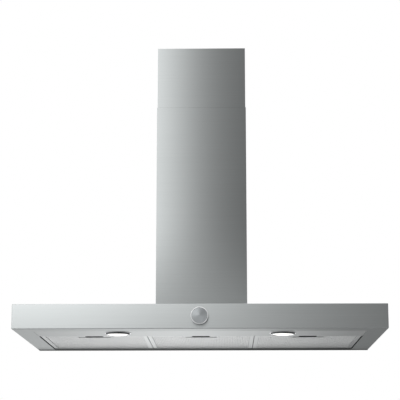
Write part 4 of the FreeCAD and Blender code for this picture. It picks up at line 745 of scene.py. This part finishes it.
def cup_mesh(name, middle_x, middle_y, half_width, half_depth, low, seat, roof):
    """A cup that is open below, with a flat rim that lies under the slider round its slot."""
    corner_radius = 0.002
    # Rings from the rim's outer edge under it, up the inside to the roof and down the outside, as
    # (how far past the slot, height).
    levels = (
        (0.0012, seat),
        (0.0012, low + 0.0003),
        (0.0009, low),
        (-0.0002, low),
        (-0.0005, low + 0.0003),
        (-0.0005, roof - 0.0004),
        (-0.0001, roof),
        (-0.0001, seat),
    )
    shape = bmesh.new()
    rings = []
    for grow, z in levels:
        corners = rounded(half_width + grow, half_depth + grow, corner_radius + grow)
        rings.append([shape.verts.new((middle_x + x, middle_y + y, z)) for x, y in corners])
    for a, b in ((0, 1), (1, 2), (2, 3), (3, 4), (4, 5), (6, 7), (7, 0)):
        for i in range(len(rings[0])):
            k = (i + 1) % len(rings[0])
            shape.faces.new([rings[a][i], rings[a][k], rings[b][k], rings[b][i]])
    shape.faces.new(rings[5])
    shape.faces.new(rings[6])
    return closed_mesh(name, shape)


slot_half_width, slot_half_depth, slot_middle_y, cup_height = 0.0213, 0.0100, -0.3285, 0.0078
for side in sides:
    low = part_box(f"filter_frame_{side}")[0].z
    cup = cup_mesh(
        f"latch_cup_{side}",
        middle(f"latch_slider_{side}").x,
        slot_middle_y,
        slot_half_width,
        slot_half_depth,
        low,
        seat=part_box(f"latch_slider_{side}")[0].z,
        roof=low + cup_height,
    )
    # The cup's black is also painted shade inside the slot.
    place_mesh(f"latch_cup_{side}", cup, black_plastic, f"{side}_latch", "black_plastic")

# Chimney: two folded sections of the same sheet, the upper one sliding in the lower one. The sheet
# bows outwards between its folds, and is held flat where it is screwed down.

chimney_steel = brushed(
    "belt_ground_chimney_sheet",
    steel_colours,
    0.3,
    bow=(0.64, 0.5, 0.0),
    lean=(0.058, 0.0, 0.0),
    bow_middle=(0.0, -0.125, 0.0),
    held=(0.0, 0.36),
)
dress(chimney_steel, "lower_chimney", "upper_chimney")

# Glide strip: black felt glued inside the upper edge of the lower chimney section, on its three sides.
# It fills the play between the two sections, and its edge shows as a thin dark line at the seam:
# painted shade for the seam's shadow.

fibres_per_metre = 2200.0
# The felt's black edge at the seam is painted shade.
felt, tree, shader = start("black_felt_painted_seam_shade", Roughness=0.95, Sheen_Weight=0.3)
place = add(tree, "ShaderNodeTexCoord").outputs["Object"]
fibres = add(tree, "ShaderNodeTexNoise", {"Scale": fibres_per_metre, "Detail": 3.0, "Vector": place})
paint(shader, fibres, (0.3, "#151617"), (0.7, "#232425"))
felt_thickness, felt_play, corner_room, rear_end = 0.0002, 0.00005, 0.004, -0.008
shown_height, glued_height = 0.0005, 0.012
edge_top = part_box("lower_chimney")[1].z + shown_height
upper_low, upper_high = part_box("upper_chimney")
side_x, front_y = upper_high.x + felt_play, upper_low.y - felt_play
# The strip's section, as (share of its thickness outwards, height from its top edge).
profile = (
    (0.0, -glued_height),
    (0.0, -felt_thickness / 2),
    (0.25, 0.0),
    (0.75, 0.0),
    (1.0, -felt_thickness / 2),
    (1.0, -glued_height),
)
runs = (
    ((-side_x, rear_end), (-side_x, front_y + corner_room), (-1, 0)),
    ((-side_x + corner_room, front_y), (side_x - corner_room, front_y), (0, -1)),
    ((side_x, front_y + corner_room), (side_x, rear_end), (1, 0)),
)
shape = bmesh.new()
for first, last, outward in runs:
    ends = []
    for end in (first, last):
        points = []
        for share, z in profile:
            x = end[0] + outward[0] * felt_thickness * share
            y = end[1] + outward[1] * felt_thickness * share
            points.append(shape.verts.new((x, y, edge_top + z)))
        ends.append(points)
    for i in range(len(profile)):
        k = (i + 1) % len(profile)
        shape.faces.new([ends[0][i], ends[0][k], ends[1][k], ends[1][i]])
    shape.faces.new(ends[0])
    shape.faces.new(ends[1])
place_mesh("glide_strip", closed_mesh("glide_strip", shape), felt, "hood", "black_plastic")

# Studio floor: pale paper far below the hood, which takes its soft shadow.
# To the camera it brightens to white away from the middle, so its edge doesn't show.

floor_level, floor_radius = -1.55, 9.0
floor_mesh = bpy.data.meshes.new("studio_floor")
shape = bmesh.new()
bmesh.ops.create_circle(shape, cap_ends=True, radius=floor_radius, segments=96)
bmesh.ops.translate(shape, verts=shape.verts, vec=(0, 0, floor_level))
shape.to_mesh(floor_mesh)
shape.free()
floor = bpy.data.objects.new("studio_floor", floor_mesh)
bpy.context.scene.collection.objects.link(floor)
floor.visible_glossy = False
paper, tree, shader = start("studio_paper", Base_Color=linear("#E6E6E4"), Roughness=0.9)
white = add(tree, "ShaderNodeEmission", {"Color": (1, 1, 1, 1), "Strength": 1.0})
seen = add(tree, "ShaderNodeLightPath").outputs["Is Camera Ray"]
place = add(tree, "ShaderNodeTexCoord").outputs["Object"]
level = add(tree, "ShaderNodeVectorMath", {0: place, 1: (1.0, 1.0, 0.0)}, operation="MULTIPLY")
far = add(tree, "ShaderNodeVectorMath", {0: level}, operation="LENGTH")
fade = add(
    tree,
    "ShaderNodeMapRange",
    {"Value": far, "From Min": 1.5, "From Max": 5.0, "To Min": 0.7, "To Max": 1.0},
    interpolation_type="SMOOTHSTEP",
)
share = add(tree, "ShaderNodeMath", {0: seen, 1: fade}, operation="MULTIPLY")
mixed = add(tree, "ShaderNodeMixShader", {0: share, 1: shader, 2: white})
tree.links.new(mixed.outputs[0], tree.nodes["Material Output"].inputs["Surface"])
floor_mesh.materials.append(paper)

# Studio dome: a graded sky that only reflections see, bright at the front's left and behind, and
# dark at the front's right. It gives the steel its gradients.


def reflected_only(piece):
    """Leaves a stage piece to be seen in reflections alone."""
    piece.visible_camera = False
    piece.visible_diffuse = False
    piece.visible_shadow = False
    piece.visible_transmission = False


dome_radius, dome_peak = 14.0, 2.0
dome_mesh = bpy.data.meshes.new("studio_dome")
shape = bmesh.new()
bmesh.ops.create_uvsphere(shape, u_segments=64, v_segments=32, radius=dome_radius)
shape.to_mesh(dome_mesh)
shape.free()
dome = bpy.data.objects.new("studio_dome", dome_mesh)
bpy.context.scene.collection.objects.link(dome)
reflected_only(dome)
graded, tree, shader = start("studio_gradient")
tree.nodes.remove(shader)
place = add(tree, "ShaderNodeTexCoord").outputs["Object"]
unit = add(tree, "ShaderNodeVectorMath", {0: place}, operation="NORMALIZE")
way = add(tree, "ShaderNodeSeparateXYZ", {"Vector": unit}).outputs
front = add(tree, "ShaderNodeMath", {0: way["Y"], 1: -1.0}, operation="MULTIPLY")
turn = add(tree, "ShaderNodeMath", {0: way["X"], 1: front}, operation="ARCTAN2")
around = add(tree, "ShaderNodeMath", {0: turn, 1: 0.5 / math.pi, 2: 0.5}, operation="MULTIPLY_ADD")


def grey(value):
    """A grey of so much brightness, as a share of the dome's peak."""
    return [value / dome_peak] * 3 + [1]


def band(stops):
    """Brightness round the dome through (degrees from the front, to the right, brightness) stops."""
    ramp = add(tree, "ShaderNodeValToRGB", {"Fac": around})
    ramp.color_ramp.interpolation = "B_SPLINE"
    points = ramp.color_ramp.elements
    points[0].position, points[1].position = 0.0, 1.0
    points[0].color, points[1].color = grey(stops[0][1]), grey(stops[-1][1])
    for degrees, value in stops[1:-1]:
        points.new(degrees / 360 + 0.5).color = grey(value)
    return ramp


def change_over(first, second, from_height, to_height):
    """Changes one brightness to another between two heights, as shares of the dome's radius."""
    change = add(
        tree,
        "ShaderNodeMapRange",
        {"Value": way["Z"], "From Min": from_height, "From Max": to_height},
        interpolation_type="SMOOTHSTEP",
    )
    return add(tree, "ShaderNodeMix", {"Factor": change, "A": first, "B": second}, data_type="RGBA")


level_stops = [
    (-180, 1.25),
    (-178, 1.4),
    (-176, 1.3),
    (-174, 1.15),
    (-172, 0.95),
    (-169, 0.6),
    (-150, 0.7),
    (-120, 0.85),
    (-90, 0.9),
    (-45, 1.3),
    (-18, 1.8),
    (-9, 1.85),
    (-5.5, 1.3),
    (-1, 1.0),
    (3, 0.5),
    (8, 0.29),
    (15, 0.16),
    (30, 0.13),
    (50, 0.16),
    (78, 0.3),
    (88, 0.5),
    (98, 0.8),
    (115, 0.65),
    (135, 0.35),
    (160, 0.35),
    (169, 0.45),
    (173, 0.95),
    (175.5, 1.15),
    (178, 1.25),
    (180, 1.25),
]
# Just above the horizon the left of the front is darker, which shades the canopy's front downwards.
darker = {-45: 0.5, -18: 0.5, -9: 0.5, -5.5: 0.5, -1: 0.8}
horizon_stops = [(degrees, value * darker.get(degrees, 1)) for degrees, value in level_stops]
low_stops = [
    (-180, 1.15),
    (-178, 1.4),
    (-175, 1.35),
    (-172, 1.05),
    (-168, 0.8),
    (-150, 0.5),
    (-90, 0.4),
    (-30, 0.6),
    (-10, 0.6),
    (0, 0.3),
    (30, 0.12),
    (90, 0.25),
    (150, 0.2),
    (170, 0.05),
    (174, 0.15),
    (177, 0.75),
    (180, 1.15),
]
ceiling, steep_floor, straight_down = 0.9, 0.6, 0.1
sky = change_over(band(level_stops), band(horizon_stops), 0.2, 0.0)
sky = change_over(sky, band(low_stops), -0.09, -0.25)
sky = change_over(sky, grey(ceiling), 0.55, 0.9)
sky = change_over(sky, grey(steep_floor), -0.45, -0.62)
sky = change_over(sky, grey(straight_down), -0.8, -0.92)
glow = add(tree, "ShaderNodeEmission", {"Color": sky, "Strength": dome_peak})
tree.links.new(glow.outputs[0], tree.nodes["Material Output"].inputs["Surface"])
dome_mesh.materials.append(graded)

# Shade card: stands just behind the rear edge for the shaded part of the wall there.
# Only reflections see it, and it fades out downwards.

card_half, card_top, card_low, card_y = 0.47, -0.0005, -0.06, 0.004
card_mesh = bpy.data.meshes.new("studio_shade_card")
corners = [
    (-card_half, card_y, card_low),
    (card_half, card_y, card_low),
    (card_half, card_y, card_top),
    (-card_half, card_y, card_top),
]
card_mesh.from_pydata(corners, [], [(0, 1, 2, 3)])
card = bpy.data.objects.new("studio_shade_card", card_mesh)
bpy.context.scene.collection.objects.link(card)
reflected_only(card)
shade, tree, shader = start("studio_shade")
tree.nodes.remove(shader)
place = add(tree, "ShaderNodeTexCoord").outputs["Object"]
height = add(tree, "ShaderNodeSeparateXYZ", {"Vector": place}).outputs["Z"]
dark = add(
    tree,
    "ShaderNodeMapRange",
    {"Value": height, "From Min": -0.032, "From Max": -0.004},
    interpolation_type="SMOOTHSTEP",
)
clear = add(tree, "ShaderNodeBsdfTransparent")
black = add(tree, "ShaderNodeEmission", {"Strength": 0.0})
mixed = add(tree, "ShaderNodeMixShader", {0: dark, 1: clear, 2: black})
tree.links.new(mixed.outputs[0], tree.nodes["Material Output"].inputs["Surface"])
card_mesh.materials.append(shade)

# World and soft lamps: the camera, reflections and glass see plain white, and surfaces get a weaker
# even light. Three disc lamps, which reflections don't see, add the soft shading.

world = bpy.data.worlds.new("studio_world")
bpy.context.scene.world = world
world.use_nodes = True
tree = world.node_tree
ambient = tree.nodes["Background"]
ambient.inputs["Color"].default_value = (1, 1, 1, 1)
ambient.inputs["Strength"].default_value = 0.55
backdrop = add(tree, "ShaderNodeBackground", {"Color": (1, 1, 1, 1), "Strength": 1.0})
path = add(tree, "ShaderNodeLightPath").outputs
direct = add(
    tree, "ShaderNodeMath", {0: path["Is Camera Ray"], 1: path["Is Glossy Ray"]}, operation="MAXIMUM"
)
bright = add(tree, "ShaderNodeMath", {0: direct, 1: path["Is Transmission Ray"]}, operation="MAXIMUM")
mixed = add(tree, "ShaderNodeMixShader", {0: bright, 1: ambient, 2: backdrop})
tree.links.new(mixed.outputs[0], tree.nodes["World Output"].inputs["Surface"])


def lamp(name, place, target, size, watts):
    """A soft disc lamp that points at a target."""
    light = bpy.data.lights.new(name, "AREA")
    light.shape = "DISK"
    light.size = size
    light.energy = watts
    thing = bpy.data.objects.new(name, light)
    thing.location = place
    thing.rotation_euler = (Vector(target) - Vector(place)).to_track_quat("-Z", "Y").to_euler()
    thing.visible_glossy = False
    bpy.context.scene.collection.objects.link(thing)


hood_middle = (0, -0.25, 0.35)
lamp("key_lamp", (-2.4, -3.0, 2.4), hood_middle, size=1.8, watts=60)
lamp("fill_lamp", (2.6, -2.6, 1.2), hood_middle, size=2.0, watts=20)
lamp("rear_lamp", (1.0, 3.0, 2.6), hood_middle, size=2.0, watts=30)

# Camera: low in front of the hood, tilted up at it from a little to the right.
# Its place, its angles in degrees and its lens in millimetres match the hood's corners to the photo's.

lens_length, tilt_up, turn_left = 121.1, 12.32, 1.13
camera_data = bpy.data.cameras.new("photo_camera")
camera_data.lens = lens_length
camera_data.clip_end = 100.0
camera = bpy.data.objects.new("photo_camera", camera_data)
camera.location = (0.0642, -3.695, -0.3845)
camera.rotation_euler = (math.radians(90 + tilt_up), 0, math.radians(turn_left))
bpy.context.scene.collection.objects.link(camera)
bpy.context.scene.camera = camera
bpy.context.scene.view_settings.view_transform = "Standard"
